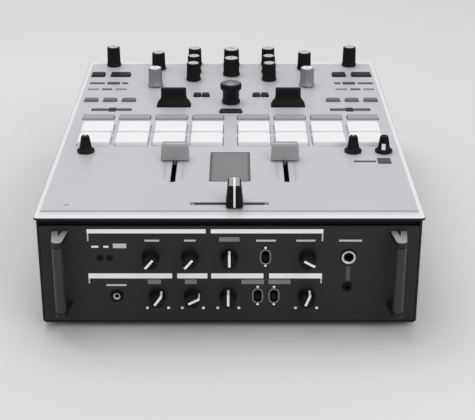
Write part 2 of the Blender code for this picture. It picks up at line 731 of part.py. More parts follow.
def make_handles():
    """Upright guard rods, each held off the front panel by two flat arms that widen towards it."""
    top = PLATE_TOP - HANDLE_TOP_DROP
    bottom = top - HANDLE_SPAN
    root_y = FACE_Y - GAP
    rod_y = FACE_Y - HANDLE_STANDOFF
    for side, sign in SIDES:
        x = sign * (WALL_X - HANDLE_EDGE)
        corners = [(x - HANDLE_ARM_ROOT / 2, root_y)]
        for step in range(HANDLE_NOSE_STEPS + 1):
            angle = math.pi * (1 + step / HANDLE_NOSE_STEPS)
            nose_x = x + HANDLE_NOSE_RADIUS * math.cos(angle)
            corners.append((nose_x, rod_y + HANDLE_NOSE_RADIUS * math.sin(angle)))
        corners.append((x + HANDLE_ARM_ROOT / 2, root_y))
        arms = bmesh.new()
        add_prism(arms, corners, top - HANDLE_ARM, top)
        add_prism(arms, corners, bottom, bottom + HANDLE_ARM)
        handle = place(f"{side}_handle", to_mesh(f"{side}_handle", arms), BLACK_STEEL)
        rod = bmesh.new()
        rod_length = HANDLE_SPAN - HANDLE_ARM
        add_rod(rod, (x, rod_y, (top + bottom) / 2), HANDLE_ROD_RADIUS, rod_length)
        combine(handle, "UNION", rod)


def make_keypads():
    """One silicone mat a side, close under the plate, with its keys standing through it."""
    for side, sign in SIDES:
        mat_top = PLATE_UNDER - GAP
        shape = bmesh.new()
        corners = [shape.verts.new((x, y, mat_top)) for x, y in mat_outline(side, sign)]
        shape.faces.new(corners)
        mat = place(f"{side}_keypad", to_mesh(f"{side}_keypad", shape), KEY_GREY)
        wall = mat.modifiers.new("wall", "SOLIDIFY")
        wall.thickness = MAT_THICKNESS
        wall.offset = -1.0
        caps = bmesh.new()
        for x, y, width, length in keys(side, sign):
            add_span(
                caps,
                (x - width / 2, y - length / 2, mat_top - FUSE),
                (x + width / 2, y + length / 2, PLATE_TOP + KEY_HEIGHT),
            )
        combine(mat, "UNION", caps)


def mat_outline(side, sign):
    """Corners of a mat, anticlockwise: the effect block, the mode strip and a tongue for the load keys."""
    outer = sign * (HALF_WIDTH - EFFECT_KEY_EDGES[0] + EFFECT_KEY_SIZE[0] / 2 + MAT_MARGIN)
    block = sign * (HALF_WIDTH - EFFECT_KEY_EDGES[-1] - EFFECT_KEY_SIZE[0] / 2 - MAT_MARGIN)
    block_back = from_back(TOP_KEY_INSET) + TOP_KEY_LENGTH / 2 + MAT_MARGIN
    strip_front = from_front(MODE_KEY_FRONT - MAT_MARGIN)
    strip_back = from_front(MODE_KEY_BACK + MAT_MARGIN)
    tongue = sign * (LOAD_KEY_X[-1] + LOAD_KEY_SIZE[0] / 2 + MAT_MARGIN / 2)
    tongue_end = sign * (LOAD_KEY_X[0] - LOAD_KEY_SIZE[0] / 2 - MAT_MARGIN / 2)
    tongue_back = from_back(LOAD_KEY_INSET) + LOAD_KEY_SIZE[1] / 2 + MAT_MARGIN
    corners = [
        (outer, strip_front),
        (outer, block_back),
        (block, block_back),
        (block, strip_back),
        (tongue, strip_back),
        (tongue, tongue_back),
        (tongue_end, tongue_back),
        (tongue_end, strip_back),
    ]
    seam = PAD_WIDTH / 2 - PAD_FIRST_X
    if side == "left":
        corners += [(seam, strip_back), (seam, strip_front)]
    else:
        half_key = CENTRE_KEY_SIZE[0] / 2
        key_back = from_back(CENTRE_KEY_INSET) + CENTRE_KEY_SIZE[1] / 2 + MAT_MARGIN
        corners += [
            (half_key, strip_back),
            (half_key, key_back),
            (-half_key, key_back),
            (-half_key, strip_back + GAP),
            (seam + GAP, strip_back + GAP),
            (seam + GAP, strip_front),
        ]
    return corners[::sign]


def make_pads():
    """Separate silicone pads, each kept under the plate by a flange."""
    shape = bmesh.new()
    low = PLATE_UNDER - GAP - PLATE_TOP
    flange_width = PAD_WIDTH + 2 * PAD_FLANGE
    flange_length = PAD_LENGTH + 2 * PAD_FLANGE
    add_stack(
        shape,
        (
            centred(flange_width, flange_length, low - PAD_FLANGE_THICKNESS),
            centred(flange_width, flange_length, low),
            centred(PAD_WIDTH, PAD_LENGTH, low),
            centred(PAD_WIDTH, PAD_LENGTH, PAD_HEIGHT - PAD_CHAMFER),
            centred(PAD_WIDTH - 2 * PAD_CHAMFER, PAD_LENGTH - 2 * PAD_CHAMFER, PAD_HEIGHT),
        ),
    )
    data = to_mesh("pad", shape)
    for name, x, y in pad_places():
        place(name, data, PAD_WHITE, (x, y, PLATE_TOP))


def fader_cap(name, width, length, height, taper):
    """A tapered cap on a flat stem, its width across the slot."""
    shape = bmesh.new()
    top = CAP_LIFT + height
    add_stack(
        shape,
        (
            centred(STEM_THICKNESS, STEM_LENGTH, PLATE_UNDER - PLATE_TOP - STEM_DEPTH),
            centred(STEM_THICKNESS, STEM_LENGTH, CAP_LIFT),
            centred(width, length, CAP_LIFT),
            centred(width, length, CAP_LIFT + CAP_FOOT),
            centred(width - 2 * taper, length - 2 * taper, top),
        ),
    )
    return to_mesh(name, shape)


def make_faders():
    """Caps on flat stems: channel faders at the back of their travel, the crossfader near its middle."""
    data = fader_cap("channel_cap", CAP_WIDTH, CAP_LENGTH, CAP_HEIGHT, CAP_TAPER)
    rest_y = from_front(FADER_FRONT) + FADER_TRAVEL / 2
    for side, sign in SIDES:
        place(f"channel_fader_{side}", data.copy(), CAP_GREY, (sign * FADER_X, rest_y, PLATE_TOP))
    cross = fader_cap("cross_cap", CROSS_CAP_WIDTH, CROSS_CAP_LENGTH, CROSS_CAP_HEIGHT, CROSS_CAP_TAPER)
    spot = (CROSSFADER_REST_X, from_front(CROSSFADER_FRONT), PLATE_TOP)
    place("crossfader", cross, BLACK_KNOB, spot, (0, 0, math.pi / 2))


def make_paddles():
    """Blades on round feet, which rock about the foot's own axis."""
    for side, sign in SIDES:
        x = sign * PADDLE_X
        y = from_back(PADDLE_INSET)
        shape = bmesh.new()
        add_rod(shape, (0, 0, 0), PADDLE_FOOT_RADIUS, PADDLE_FOOT_LENGTH, "X", PADDLE_SIDES)
        data = to_mesh(f"paddle_{side}", shape)
        paddle = place(f"paddle_{side}", data, BLACK_KNOB, (x, y, PADDLE_AXLE_Z))
        blade = bmesh.new()
        tip = PLATE_TOP + PADDLE_HEIGHT
        tip_width = PADDLE_BLADE_WIDTH - 2 * PADDLE_TIP_EDGE
        tip_thickness = PADDLE_BLADE_THICKNESS - 2 * PADDLE_TIP_EDGE
        add_stack(
            blade,
            (
                centred(PADDLE_BLADE_WIDTH, PADDLE_BLADE_THICKNESS, PADDLE_AXLE_Z, x, y),
                centred(PADDLE_BLADE_WIDTH, PADDLE_BLADE_THICKNESS, tip - PADDLE_TIP_HEIGHT, x, y),
                centred(tip_width, tip_thickness, tip, x, y),
            ),
        )
        combine(paddle, "UNION", blade)


def make_front_controls():
    """Low knobs and slide switches on the front panel, facing the player."""
    facing = (math.pi / 2, 0, 0)
    for name, x, z in front_controls(FRONT_UPPER_KNOBS, FRONT_LOWER_KNOBS):
        turned(f"{name}_knob", front_profile(), BLACK_KNOB, (x, FACE_Y, z), facing)
    width, height = SWITCH_LEVER
    behind = -PANEL_SHEET - GAP
    shape = bmesh.new()
    backing_width = width + 2 * SWITCH_BACKING_MARGIN
    backing_height = height + SWITCH_TRAVEL + 2 * SWITCH_BACKING_MARGIN
    add_stack(
        shape,
        (
            centred(backing_width, backing_height, behind - SWITCH_BACKING),
            centred(backing_width, backing_height, behind),
            centred(width, height, behind),
            centred(width, height, SWITCH_REACH),
        ),
    )
    data = to_mesh("slide_switch", shape)
    for name, x, z in front_controls(UPPER_SWITCHES, LOWER_SWITCHES):
        place(f"{name}_switch", data, BLACK_KNOB, (x, FACE_Y, z), facing)


def make_top_knobs():
    for name, (x, y), profile, material in top_knobs():
        turned(name, profile, material, (x, y, PLATE_TOP))


def make_boards():
    """The board stack: control board with pots and fader units, main board, supply and front board."""
    board_low = BOARD_TOP - BOARD
    shape = bmesh.new()
    edge = INNER_X - BOARD_MARGIN
    add_span(
        shape,
        (-edge, FACE_Y + PANEL_FLANGE + BOARD_MARGIN, board_low),
        (edge, REAR_Y - PANEL_SHEET - BOARD_MARGIN, BOARD_TOP),
    )
    stack = place("board_stack", to_mesh("board_stack", shape), BOARD_GREEN)
    combine(stack, "UNION", control_board_parts(board_low))
    main_low = FLOOR_TOP + MAIN_BOARD_LIFT
    main_front = FACE_Y + FRONT_BOARD_BACK
    main = bmesh.new()
    main_edge = INNER_X - MAIN_BOARD_MARGIN
    main_back = REAR_Y - MAIN_BOARD_BACK
    add_span(main, (-main_edge, main_front, main_low), (main_edge, main_back, main_low + BOARD))
    combine(stack, "UNION", main)
    upright = bmesh.new()
    add_span(
        upright,
        (FRONT_BOARD_SPAN[0], main_front - BOARD + FUSE, main_low - FUSE),
        (FRONT_BOARD_SPAN[1], main_front + FUSE, PLATE_TOP - FRONT_BOARD_TOP_DROP),
    )
    supply_x, supply_y = SUPPLY_CENTRE
    width, length, height = SUPPLY_SIZE
    supply_z = main_low + BOARD - FUSE + height / 2
    add_box(upright, (supply_x, from_front(supply_y), supply_z), (width, length, height))
    combine(stack, "UNION", upright)
    front_pots = bmesh.new()
    pot_front = FACE_Y + PANEL_SHEET + SHAFT_DEPTH
    for _, x, z in front_controls(FRONT_UPPER_KNOBS, FRONT_LOWER_KNOBS):
        half = POT_SIZE / 2
        add_span(front_pots, (x - half, pot_front, z - half), (x + half, main_front, z + half))
    combine(stack, "UNION", front_pots)
    combine(stack, "DIFFERENCE", board_cuts())


def control_board_parts(board_low):
    """What stands on the control board, and the pillars under it."""
    parts = bmesh.new()
    base = BOARD_TOP - FUSE
    half = POT_SIZE / 2
    for _, (x, y), _, _ in top_knobs():
        add_span(parts, (x - half, y - half, base), (x + half, y + half, PLATE_UNDER - SHAFT_DEPTH))
    unit_top = PLATE_UNDER - FADER_UNIT_DROP
    unit_half = SLOT_LENGTH / 2 + FADER_UNIT_MARGIN
    half_unit = FADER_UNIT_WIDTH / 2
    fader_y = from_front(FADER_FRONT)
    cross_y = from_front(CROSSFADER_FRONT)
    add_span(parts, (-unit_half, cross_y - half_unit, base), (unit_half, cross_y + half_unit, unit_top))
    pads_reach = PAD_FIRST_X + (PAD_COLUMNS - 1) * PAD_PITCH_X
    sensor_top = PLATE_UNDER - 2 * GAP - PAD_FLANGE_THICKNESS - PAD_TRAVEL
    for _, sign in SIDES:
        fader_x = sign * FADER_X
        add_span(
            parts,
            (fader_x - half_unit, fader_y - unit_half, base),
            (fader_x + half_unit, fader_y + unit_half, unit_top),
        )
        ends = sorted((sign * PAD_FIRST_X, sign * pads_reach))
        add_span(
            parts,
            (ends[0], from_front(PADS_FRONT), base),
            (ends[1], from_front(PADS_BACK), sensor_top),
        )
        saddle_x = sign * PADDLE_X
        saddle_y = from_back(PADDLE_INSET)
        add_span(
            parts,
            (saddle_x - SADDLE_LENGTH / 2, saddle_y - SADDLE_WIDTH / 2, base),
            (saddle_x + SADDLE_LENGTH / 2, saddle_y + SADDLE_WIDTH / 2, PLATE_UNDER - SADDLE_DROP),
        )
        pillar_low = FLOOR_TOP + GAP
        pillar_height = board_low + FUSE - pillar_low
        for x, front in PILLARS:
            centre = (sign * x, from_front(front), pillar_low + pillar_height / 2)
            add_rod(parts, centre, PILLAR_RADIUS, pillar_height, "Z", PILLAR_SIDES)
    return parts


def board_cuts():
    """Slots in the fader units for the stems, and round seats in the saddles for the paddle feet."""
    cuts = bmesh.new()
    slot_low = PLATE_UNDER - STEM_DEPTH - GAP
    slot_height = PLATE_UNDER - slot_low
    slot_middle = slot_low + slot_height / 2
    add_box(cuts, (0, from_front(CROSSFADER_FRONT), slot_middle), (SLOT_LENGTH, SLOT_WIDTH, slot_height))
    for _, sign in SIDES:
        fader = (sign * FADER_X, from_front(FADER_FRONT), slot_middle)
        add_box(cuts, fader, (SLOT_WIDTH, SLOT_LENGTH, slot_height))
        seat = (sign * PADDLE_X, from_back(PADDLE_INSET), PADDLE_AXLE_Z)
        add_rod(cuts, seat, PADDLE_FOOT_RADIUS + KEY_CLEARANCE, PADDLE_FOOT_LENGTH, "X", PADDLE_SIDES)
    return cuts


make_bottom_pan()
make_top_plate()
make_meter_window()
make_front_panel()
make_rear_panel()
make_handles()
make_keypads()
make_pads()
make_faders()
make_paddles()
make_top_knobs()
make_front_controls()
make_boards()
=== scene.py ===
"""Looks of the scratch mixer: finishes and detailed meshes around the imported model.

Metres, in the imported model's frame: +X to the player's right, +Y to the back, +Z up.
"""

import json
import math

import bmesh
import bpy
from mathutils import Matrix, Vector


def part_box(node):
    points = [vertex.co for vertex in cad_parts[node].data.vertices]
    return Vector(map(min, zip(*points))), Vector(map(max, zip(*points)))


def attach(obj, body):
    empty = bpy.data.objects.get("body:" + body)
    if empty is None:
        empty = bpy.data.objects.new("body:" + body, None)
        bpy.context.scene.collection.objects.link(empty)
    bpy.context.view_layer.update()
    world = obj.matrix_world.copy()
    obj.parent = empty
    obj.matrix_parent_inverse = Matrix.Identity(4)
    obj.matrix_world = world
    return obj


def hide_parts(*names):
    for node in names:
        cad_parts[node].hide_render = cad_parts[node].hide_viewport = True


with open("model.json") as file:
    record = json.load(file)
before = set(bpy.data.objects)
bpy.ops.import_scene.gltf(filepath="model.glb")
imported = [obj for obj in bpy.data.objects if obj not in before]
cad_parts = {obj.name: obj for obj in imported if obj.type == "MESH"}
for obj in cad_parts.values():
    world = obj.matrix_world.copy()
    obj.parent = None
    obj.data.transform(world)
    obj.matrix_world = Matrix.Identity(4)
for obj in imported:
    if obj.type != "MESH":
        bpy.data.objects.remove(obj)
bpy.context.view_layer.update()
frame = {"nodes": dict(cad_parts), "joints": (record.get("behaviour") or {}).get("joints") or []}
SIDES = ("left", "right")

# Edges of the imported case
PLATE_LOW, PLATE_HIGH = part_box("top_plate")
PAN_LOW, PAN_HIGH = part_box("bottom_pan")
PLATE_TOP = PLATE_HIGH.z
PLATE_UNDER = PLATE_LOW.z
FRONT_EDGE = PLATE_LOW.y
BACK_EDGE = PLATE_HIGH.y
FACE_Y = PAN_LOW.y
REAR_Y = PAN_HIGH.y

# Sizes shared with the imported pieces
PLATE_RIM = 0.0020
CORNER_RADIUS = 0.0035
FRONT_BAND = 0.010
BACK_BAND = 0.009
SIDE_BAND = 0.004
SHEET = 0.0015
PANEL_SHEET = 0.002
PANEL_FLANGE = 0.012
PAD_FLANGE = 0.0014
HOLE_CLEARANCE = 0.0005
FOOT_HEIGHT = 0.005
FOOT_RADIUS = 0.010
FOOT_INSET = 0.032
SOCKET_DEPTH = 0.011
SOCKET_WALL = 0.002
PHONO_REACH = 0.009
GROUND_REACH = 0.007
KNOB_LIFT = 0.0007
SHAFT_RADIUS = 0.003
STEM_THICKNESS = 0.0028
STEM_LENGTH = 0.006
SLIDE_CLEARANCE = 0.0007
SLOT_SPARE = 0.004
SLOT_WIDTH = STEM_THICKNESS + 2 * SLIDE_CLEARANCE
SLOT_EXTRA = STEM_LENGTH + 2 * SLIDE_CLEARANCE + SLOT_SPARE
PADDLE_AXLE_DROP = 0.0035

# Roundness of the meshes
CIRCLE_POINTS = 48
GRIP_POINTS = 96
FLUTES = 24
CORNER_STEPS = 4
SMOOTH_ANGLE = math.radians(40)
SHEET_SMOOTH = math.radians(10)
WELD = 0.00001
LEVEL = 0.00005
EDGE = 0.0003
SHEET_CORNER = 0.0008

# Corner radii seen from above
PAD_CORNER = 0.0019
KEY_CORNER = 0.0009
PADDLE_CORNER = 0.0010
SLOT_CORNER = 0.0015
WELL_CORNER = 0.0010
WINDOW_CORNER = 0.0012
PRINT_CORNER = 0.0003

# Prints lie this proud of their surface and reach this far into it
PRINT_PROUD = 0.00008
PRINT_DEPTH = 0.0001


def circle(radius, z, flute=0.0, points=CIRCLE_POINTS):
    """A ring of points around Z, with shallow flutes if a depth is given."""
    ring = []
    for step in range(points):
        angle = math.tau * step / points
        reach = radius - flute * (1 - math.cos(FLUTES * angle)) / 2
        ring.append((reach * math.cos(angle), reach * math.sin(angle), z))
    return ring


def hexagon(radius, z):
    """A ring of points on a hexagon with that inner radius."""
    ring = []
    sixth = math.tau / 6
    for step in range(CIRCLE_POINTS):
        angle = math.tau * step / CIRCLE_POINTS
        reach = radius / math.cos(angle % sixth - sixth / 2)
        ring.append((reach * math.cos(angle), reach * math.sin(angle), z))
    return ring


def outline(low, high, radius, z):
    """A ring of points on a rectangle with round corners."""
    centres = (
        (high[0] - radius, high[1] - radius),
        (low[0] + radius, high[1] - radius),
        (low[0] + radius, low[1] + radius),
        (high[0] - radius, low[1] + radius),
    )
    ring = []
    for quarter, (x, y) in enumerate(centres):
        for step in range(CORNER_STEPS + 1):
            angle = math.pi / 2 * (quarter + step / CORNER_STEPS)
            ring.append((x + radius * math.cos(angle), y + radius * math.sin(angle), z))
    return ring


def round_hole(radius, x, y):
    """A circle of points around a place on a sheet."""
    return [(x + across, y + along, 0) for across, along, _ in circle(radius, 0)]


def centred(width, length, radius, z, x=0.0, y=0.0):
    """A round-cornered ring around a point."""
    return outline((x - width / 2, y - length / 2), (x + width / 2, y + length / 2), radius, z)


def stepped(width, length, radius, steps, x=0.0, y=0.0):
    """Round-cornered rings around a point. A step is an inset from the full size and a height."""
    return [centred(width - 2 * inset, length - 2 * inset, radius, z, x, y) for inset, z in steps]


def shrunk(box, inset, radius, z):
    """A round-cornered ring inside a box seen from above, or around it if the inset is negative."""
    low, high = box
    return outline((low[0] + inset, low[1] + inset), (high[0] - inset, high[1] - inset), radius, z)


def loft(shape, rings, bands=0, place=None, closed=False):
    """A closed skin over rings of points. bands is one material index, or one for each band."""
    place = place or Matrix.Identity(4)
    loops = [[shape.verts.new(place @ Vector(point)) for point in ring] for ring in rings]
    if isinstance(bands, int):
        bands = [bands] * len(loops)
    pairs = list(zip(loops, loops[1:]))
    if closed:
        pairs.append((loops[-1], loops[0]))
    for band, (lower, upper) in zip(bands, pairs):
        for i, start in enumerate(lower):
            j = (i + 1) % len(lower)
            face = shape.faces.new((start, lower[j], upper[j], upper[i]))
            face.material_index = band
    if not closed:
        shape.faces.new(reversed(loops[0])).material_index = bands[0]
        shape.faces.new(loops[-1]).material_index = bands[len(pairs) - 1]


def turned(shape, sections, place=None, points=CIRCLE_POINTS, band=0):
    """A turned form. A section is a radius and a height, with a flute depth and a material if needed."""
    rings = []
    bands = []
    for radius, z, *extras in sections:
        flute, material = (*extras, *(0, band)[len(extras):])
        rings.append(circle(radius, z, flute, points))
        bands.append(material)
    loft(shape, rings, bands, place)


def bar(shape, low, high, z_low, z_high, radius=0.0002, band=0, place=None):
    """A small block with round corners between two corners."""
    loft(shape, [outline(low, high, radius, z) for z in (z_low, z_high)], band, place)


def surround(shape, outer, inner, z_low, z_high, band, place):
    """A flat ring with round corners. outer and inner are (width, length, corner radius)."""
    steps = ((inner, z_low), (outer, z_low), (outer, z_high), (inner, z_high))
    loft(shape, [centred(*sizes, z) for sizes, z in steps], band, place, closed=True)


def mesh_of(name, shape, materials, smooth=SMOOTH_ANGLE):
    """A mesh from a bmesh, smooth apart from its sharp edges."""
    data = bpy.data.meshes.new(name)
    shape.to_mesh(data)
    shape.free()
    for material in materials:
        data.materials.append(material)
    for face in data.polygons:
        face.use_smooth = True
    data.set_sharp_from_angle(angle=smooth)
    return data


def put(name, data, body, replaced, place):
    """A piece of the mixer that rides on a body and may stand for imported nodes."""
    item = bpy.data.objects.new(name, data)
    bpy.context.scene.collection.objects.link(item)
    if place is not None:
        item.matrix_world = place
    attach(item, body)
    if replaced:
        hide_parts(*replaced)


def fix(name, shape, finishes, replaced=(), place=None, smooth=SMOOTH_ANGLE):
    """A piece with a mesh of its own that rides on the case."""
    put(name, mesh_of(name, shape, finishes, smooth), "case", replaced, place)


def at(x, y, z):
    return Matrix.Translation((x, y, z))


def turn(degrees, axis):
    return Matrix.Rotation(math.radians(degrees), 4, axis)


# Local X, Y and Z on these are across, up and out of the panel
ON_FRONT = at(0, FACE_Y, 0) @ turn(90, "X")
ON_REAR = at(0, REAR_Y, 0) @ turn(180, "Z") @ turn(90, "X")


def middle(node):
    """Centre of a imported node's box."""
    low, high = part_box(node)
    return (low + high) / 2


def span(node):
    """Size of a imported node's box."""
    low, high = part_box(node)
    return high - low


def on_plate(node, drop=0.0):
    """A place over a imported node's centre, level with the plate's top or a drop below it."""
    spot = middle(node)
    return at(spot.x, spot.y, PLATE_TOP - drop)


def on_front(node):
    """A place on the front panel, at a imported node's centre."""
    spot = middle(node)
    return ON_FRONT @ at(spot.x, spot.z, 0)


def joint_range(node):
    """(low, high) travel of the sliding joint that carries a node."""
    return next(joint["range_m"] for joint in frame["joints"] if joint["child"] == node)


def flat_islands(node, axis, level):
    """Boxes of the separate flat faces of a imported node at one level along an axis, in a fixed order."""
    shape = bmesh.new()
    shape.from_mesh(frame["nodes"][node].data)
    bmesh.ops.remove_doubles(shape, verts=shape.verts, dist=WELD)
    left = {f for f in shape.faces if all(abs(v.co[axis] - level) < LEVEL for v in f.verts)}
    boxes = []
    while left:
        waiting = [left.pop()]
        corners = []
        while waiting:
            face = waiting.pop()
            corners.extend(vert.co.copy() for vert in face.verts)
            near = {other for edge in face.edges for other in edge.link_faces} & left
            left -= near
            waiting.extend(near)
        low = Vector([min(corner[i] for corner in corners) for i in range(3)])
        high = Vector([max(corner[i] for corner in corners) for i in range(3)])
        boxes.append((low, high))
    shape.free()
    return sorted(boxes, key=lambda box: [round(value, 4) for value in (*box[0], *box[1])])


def cut_sheet(box, holes, thickness):
    """A flat sheet with round edges and holes, its top at height 0. A hole is a ring of points."""
    curve = bpy.data.curves.new("sheet", "CURVE")
    curve.dimensions = "2D"
    curve.fill_mode = "BOTH"
    curve.extrude = thickness / 2 - EDGE
    curve.bevel_depth = EDGE
    curve.bevel_resolution = 1
    for ring in (shrunk(box, EDGE, SHEET_CORNER, 0), *holes):
        spline = curve.splines.new("POLY")
        spline.points.add(len(ring) - 1)
        spline.use_cyclic_u = True
        for point, (x, y, _) in zip(spline.points, ring):
            point.co = (x, y, 0, 1)
    carrier = bpy.data.objects.new("sheet", curve)
    bpy.context.scene.collection.objects.link(carrier)
    evaluated = carrier.evaluated_get(bpy.context.evaluated_depsgraph_get())
    shape = bmesh.new()
    shape.from_mesh(evaluated.to_mesh())
    bpy.data.objects.remove(carrier)
    bmesh.ops.remove_doubles(shape, verts=shape.verts, dist=WELD)
    bmesh.ops.dissolve_degenerate(shape, dist=WELD, edges=shape.edges)
    bmesh.ops.recalc_face_normals(shape, faces=shape.faces)
    bmesh.ops.translate(shape, verts=shape.verts, vec=(0, 0, -thickness / 2))
    return shape


# Materials

# The noise that drifts over a surface stays mostly between these values
DRIFT_ENDS = (0.3, 0.7)
SPECK_SHARE = 0.35


def add_node(tree, kind, settings, sources):
    """A shader node with some inputs set and others linked to sockets of earlier nodes."""
    node = tree.nodes.new(kind)
    for name, value in settings.items():
        node.inputs[name].default_value = value
    for name, socket in sources.items():
        tree.links.new(socket, node.inputs[name])
    return node


def surface(name, colour, rough, vary, patch, grain, relief=0.00002, metal=0.0, shine=0.5):
    """A Principled material whose colour and gloss drift over the surface, with a fine moulded grain."""
    material = bpy.data.materials.new(name)
    material.use_nodes = True
    tree = material.node_tree
    where = {"Vector": tree.nodes.new("ShaderNodeTexCoord").outputs["Object"]}
    drift = add_node(tree, "ShaderNodeTexNoise", {"Scale": patch, "Detail": 5}, where).outputs["Fac"]
    speck = add_node(tree, "ShaderNodeTexNoise", {"Scale": grain, "Detail": 2}, where).outputs["Fac"]
    both = add_node(tree, "ShaderNodeMix", {"Factor": SPECK_SHARE}, {"A": drift, "B": speck})
    tint = add_node(tree, "ShaderNodeValToRGB", {}, {"Fac": both.outputs["Result"]})
    for stop, position, share in zip(tint.color_ramp.elements, DRIFT_ENDS, (1 - vary, 1 + vary)):
        stop.position = position
        stop.color = (*[min(1.0, part * share) for part in colour], 1.0)
    ends = dict(zip(("From Min", "From Max", "To Min", "To Max"), (*DRIFT_ENDS, *rough)))
    gloss = add_node(tree, "ShaderNodeMapRange", ends, {"Value": drift})
    bump = add_node(tree, "ShaderNodeBump", {"Distance": relief}, {"Height": speck})
    shader = tree.nodes["Principled BSDF"]
    shader.inputs["Metallic"].default_value = metal
    shader.inputs["Specular IOR Level"].default_value = shine
    tree.links.new(tint.outputs["Color"], shader.inputs["Base Color"])
    tree.links.new(gloss.outputs["Result"], shader.inputs["Roughness"])
    tree.links.new(bump.outputs["Normal"], shader.inputs["Normal"])
    return material


def ink(name, colour, vary, shine=0.5):
    """A thin matt print."""
    return surface(name, colour, (0.45, 0.55), vary, 250, 3000, 0.00001, shine=shine)


SILVER = surface("silver_paint", (0.555, 0.557, 0.600), (0.34, 0.44), 0.025, 12, 2600, metal=0.15)
# Lighter than the field: a painted highlight on the plate's bevelled rim.
RIM_PAINTED_HIGHLIGHT = surface("silver_rim_painted_highlight", (0.82, 0.82, 0.85), (0.25, 0.35), 0.03, 20, 2600, metal=0.1)
CHARCOAL = surface("charcoal_paint", (0.019, 0.018, 0.020), (0.45, 0.58), 0.12, 18, 1900, 0.00004, shine=0.3)
# Black paint of the case and handle arms, also laid on the plate's outer edge and underside as painted shade
# under its lip.
BLACK_PAINT_AND_SHADE = surface("black_paint_and_painted_shade", (0.012, 0.012, 0.013), (0.40, 0.54), 0.15, 15, 1700, 0.00005, shine=0.3)
# Pale metal on the upper arms' tops only: a painted highlight where light falls from above.
ARM_TOP_HIGHLIGHT = surface("guard_arm_painted_highlight", (0.44, 0.44, 0.45), (0.30, 0.40), 0.08, 60, 2200, metal=0.3)
ROD_METAL = surface("guard_rod", (0.032, 0.032, 0.034), (0.32, 0.42), 0.10, 60, 2200, metal=0.3)
BLACK_GRIP = surface("black_grip", (0.006, 0.006, 0.0065), (0.42, 0.56), 0.18, 180, 2400, 0.00003, shine=0.14)
KNOB_TOP = surface("knob_top", (0.52, 0.52, 0.53), (0.22, 0.32), 0.05, 200, 2600, 0.00001)
# Satin metal of the filter knob bodies, also the encoder's pale centre disc, a painted highlight.
SATIN_AND_HIGHLIGHT = surface("satin_metal_and_painted_highlight", (0.29, 0.29, 0.305), (0.28, 0.38), 0.10, 260, 3000, metal=0.65)
PALE_CAP = surface("pale_cap", (0.82, 0.82, 0.83), (0.30, 0.40), 0.03, 200, 2200, 0.00001)
PAD = surface("pad_white", (0.83, 0.835, 0.85), (0.42, 0.52), 0.02, 90, 1800, 0.00003)
CAP_GREY = surface("cap_grey", (0.33, 0.33, 0.34), (0.36, 0.46), 0.05, 160, 2200)
CAP_DARK = surface("cap_dark", (0.19, 0.19, 0.195), (0.38, 0.48), 0.08, 160, 2200)
KEY_BLACK = surface("key_black", (0.007, 0.007, 0.008), (0.42, 0.55), 0.15, 200, 2000, shine=0.25)
KEY_DARK = surface("key_dark", (0.13, 0.13, 0.135), (0.42, 0.55), 0.10, 200, 2000, shine=0.35)
KEY_GREY = surface("key_grey", (0.33, 0.33, 0.34), (0.42, 0.55), 0.05, 200, 2000)
KEY_GREEN = surface("key_green_black", (0.008, 0.015, 0.012), (0.40, 0.50), 0.12, 200, 2000, shine=0.25)
SCREEN = surface("screen_grey", (0.178, 0.174, 0.178), (0.10, 0.16), 0.04, 30, 2600, 0.000004)
SCREEN_EDGE = surface("screen_edge", (0.075, 0.075, 0.08), (0.14, 0.22), 0.06, 60, 2600, 0.000004)
WHITE_INK = ink("white_ink", (0.88, 0.88, 0.88), 0.03)
PANEL_INK = ink("panel_ink", (0.95, 0.95, 0.95), 0.02)
PALE_INK = ink("pale_ink", (0.58, 0.58, 0.57), 0.05)
GREY_INK = ink("grey_ink", (0.20, 0.20, 0.21), 0.06)
DARK_INK = surface("dark_ink", (0.045, 0.045, 0.05), (0.40, 0.50), 0.10, 250, 3000, 0.00001)
FAINT_INK = ink("faint_ink", (0.075, 0.075, 0.08), 0.08)
STRIP_INK = ink("strip_ink", (0.075, 0.075, 0.08), 0.08, shine=0.2)
CHROME = surface("chrome", (0.72, 0.72, 0.73), (0.08, 0.16), 0.04, 200, 3000, 0.000005, metal=1.0)
RING_METAL = surface("ring_metal", (0.62, 0.62, 0.63), (0.24, 0.34), 0.05, 200, 3000, metal=0.35)
GOLD = surface("gold_plate", (0.72, 0.50, 0.20), (0.16, 0.26), 0.06, 200, 3000, 0.000005, metal=1.0)
PHONO_RED = surface("phono_red", (0.42, 0.016, 0.016), (0.32, 0.42), 0.06, 200, 2400)
PHONO_WHITE = surface("phono_white", (0.72, 0.72, 0.70), (0.32, 0.42), 0.04, 200, 2400)
# Deep black of sockets and bores, also laid as painted shade on the fader slots' walls and in the recess
# under the plate's front edge.
SOCKET_BLACK_AND_SHADE = surface("socket_black_and_shade", (0.004, 0.004, 0.004), (0.35, 0.48), 0.15, 150, 2000, shine=0.12)
RUBBER = surface("foot_rubber", (0.020, 0.020, 0.020), (0.65, 0.80), 0.15, 120, 1200, 0.00006)
BOARD = surface("board_green", (0.018, 0.100, 0.040), (0.35, 0.50), 0.20, 300, 1500)


# Top plate


def key_tops(side):
    """Boxes of the key tops of one keypad."""
    node = f"{side}_keypad"
    return flat_islands(node, 2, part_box(node)[1].z)


def fader_slots():
    """Centre and size of each fader's slot in the plate, from the travel of its joint."""
    slots = []
    for node in ("channel_fader_left", "channel_fader_right", "crossfader"):
        low, high = joint_range(node)
        spot = middle(node)
        length = high - low + SLOT_EXTRA
        if node == "crossfader":
            slots.append((spot.x + (low + high) / 2, spot.y, length, SLOT_WIDTH))
        else:
            slots.append((spot.x, spot.y + (low + high) / 2, SLOT_WIDTH, length))
    return slots


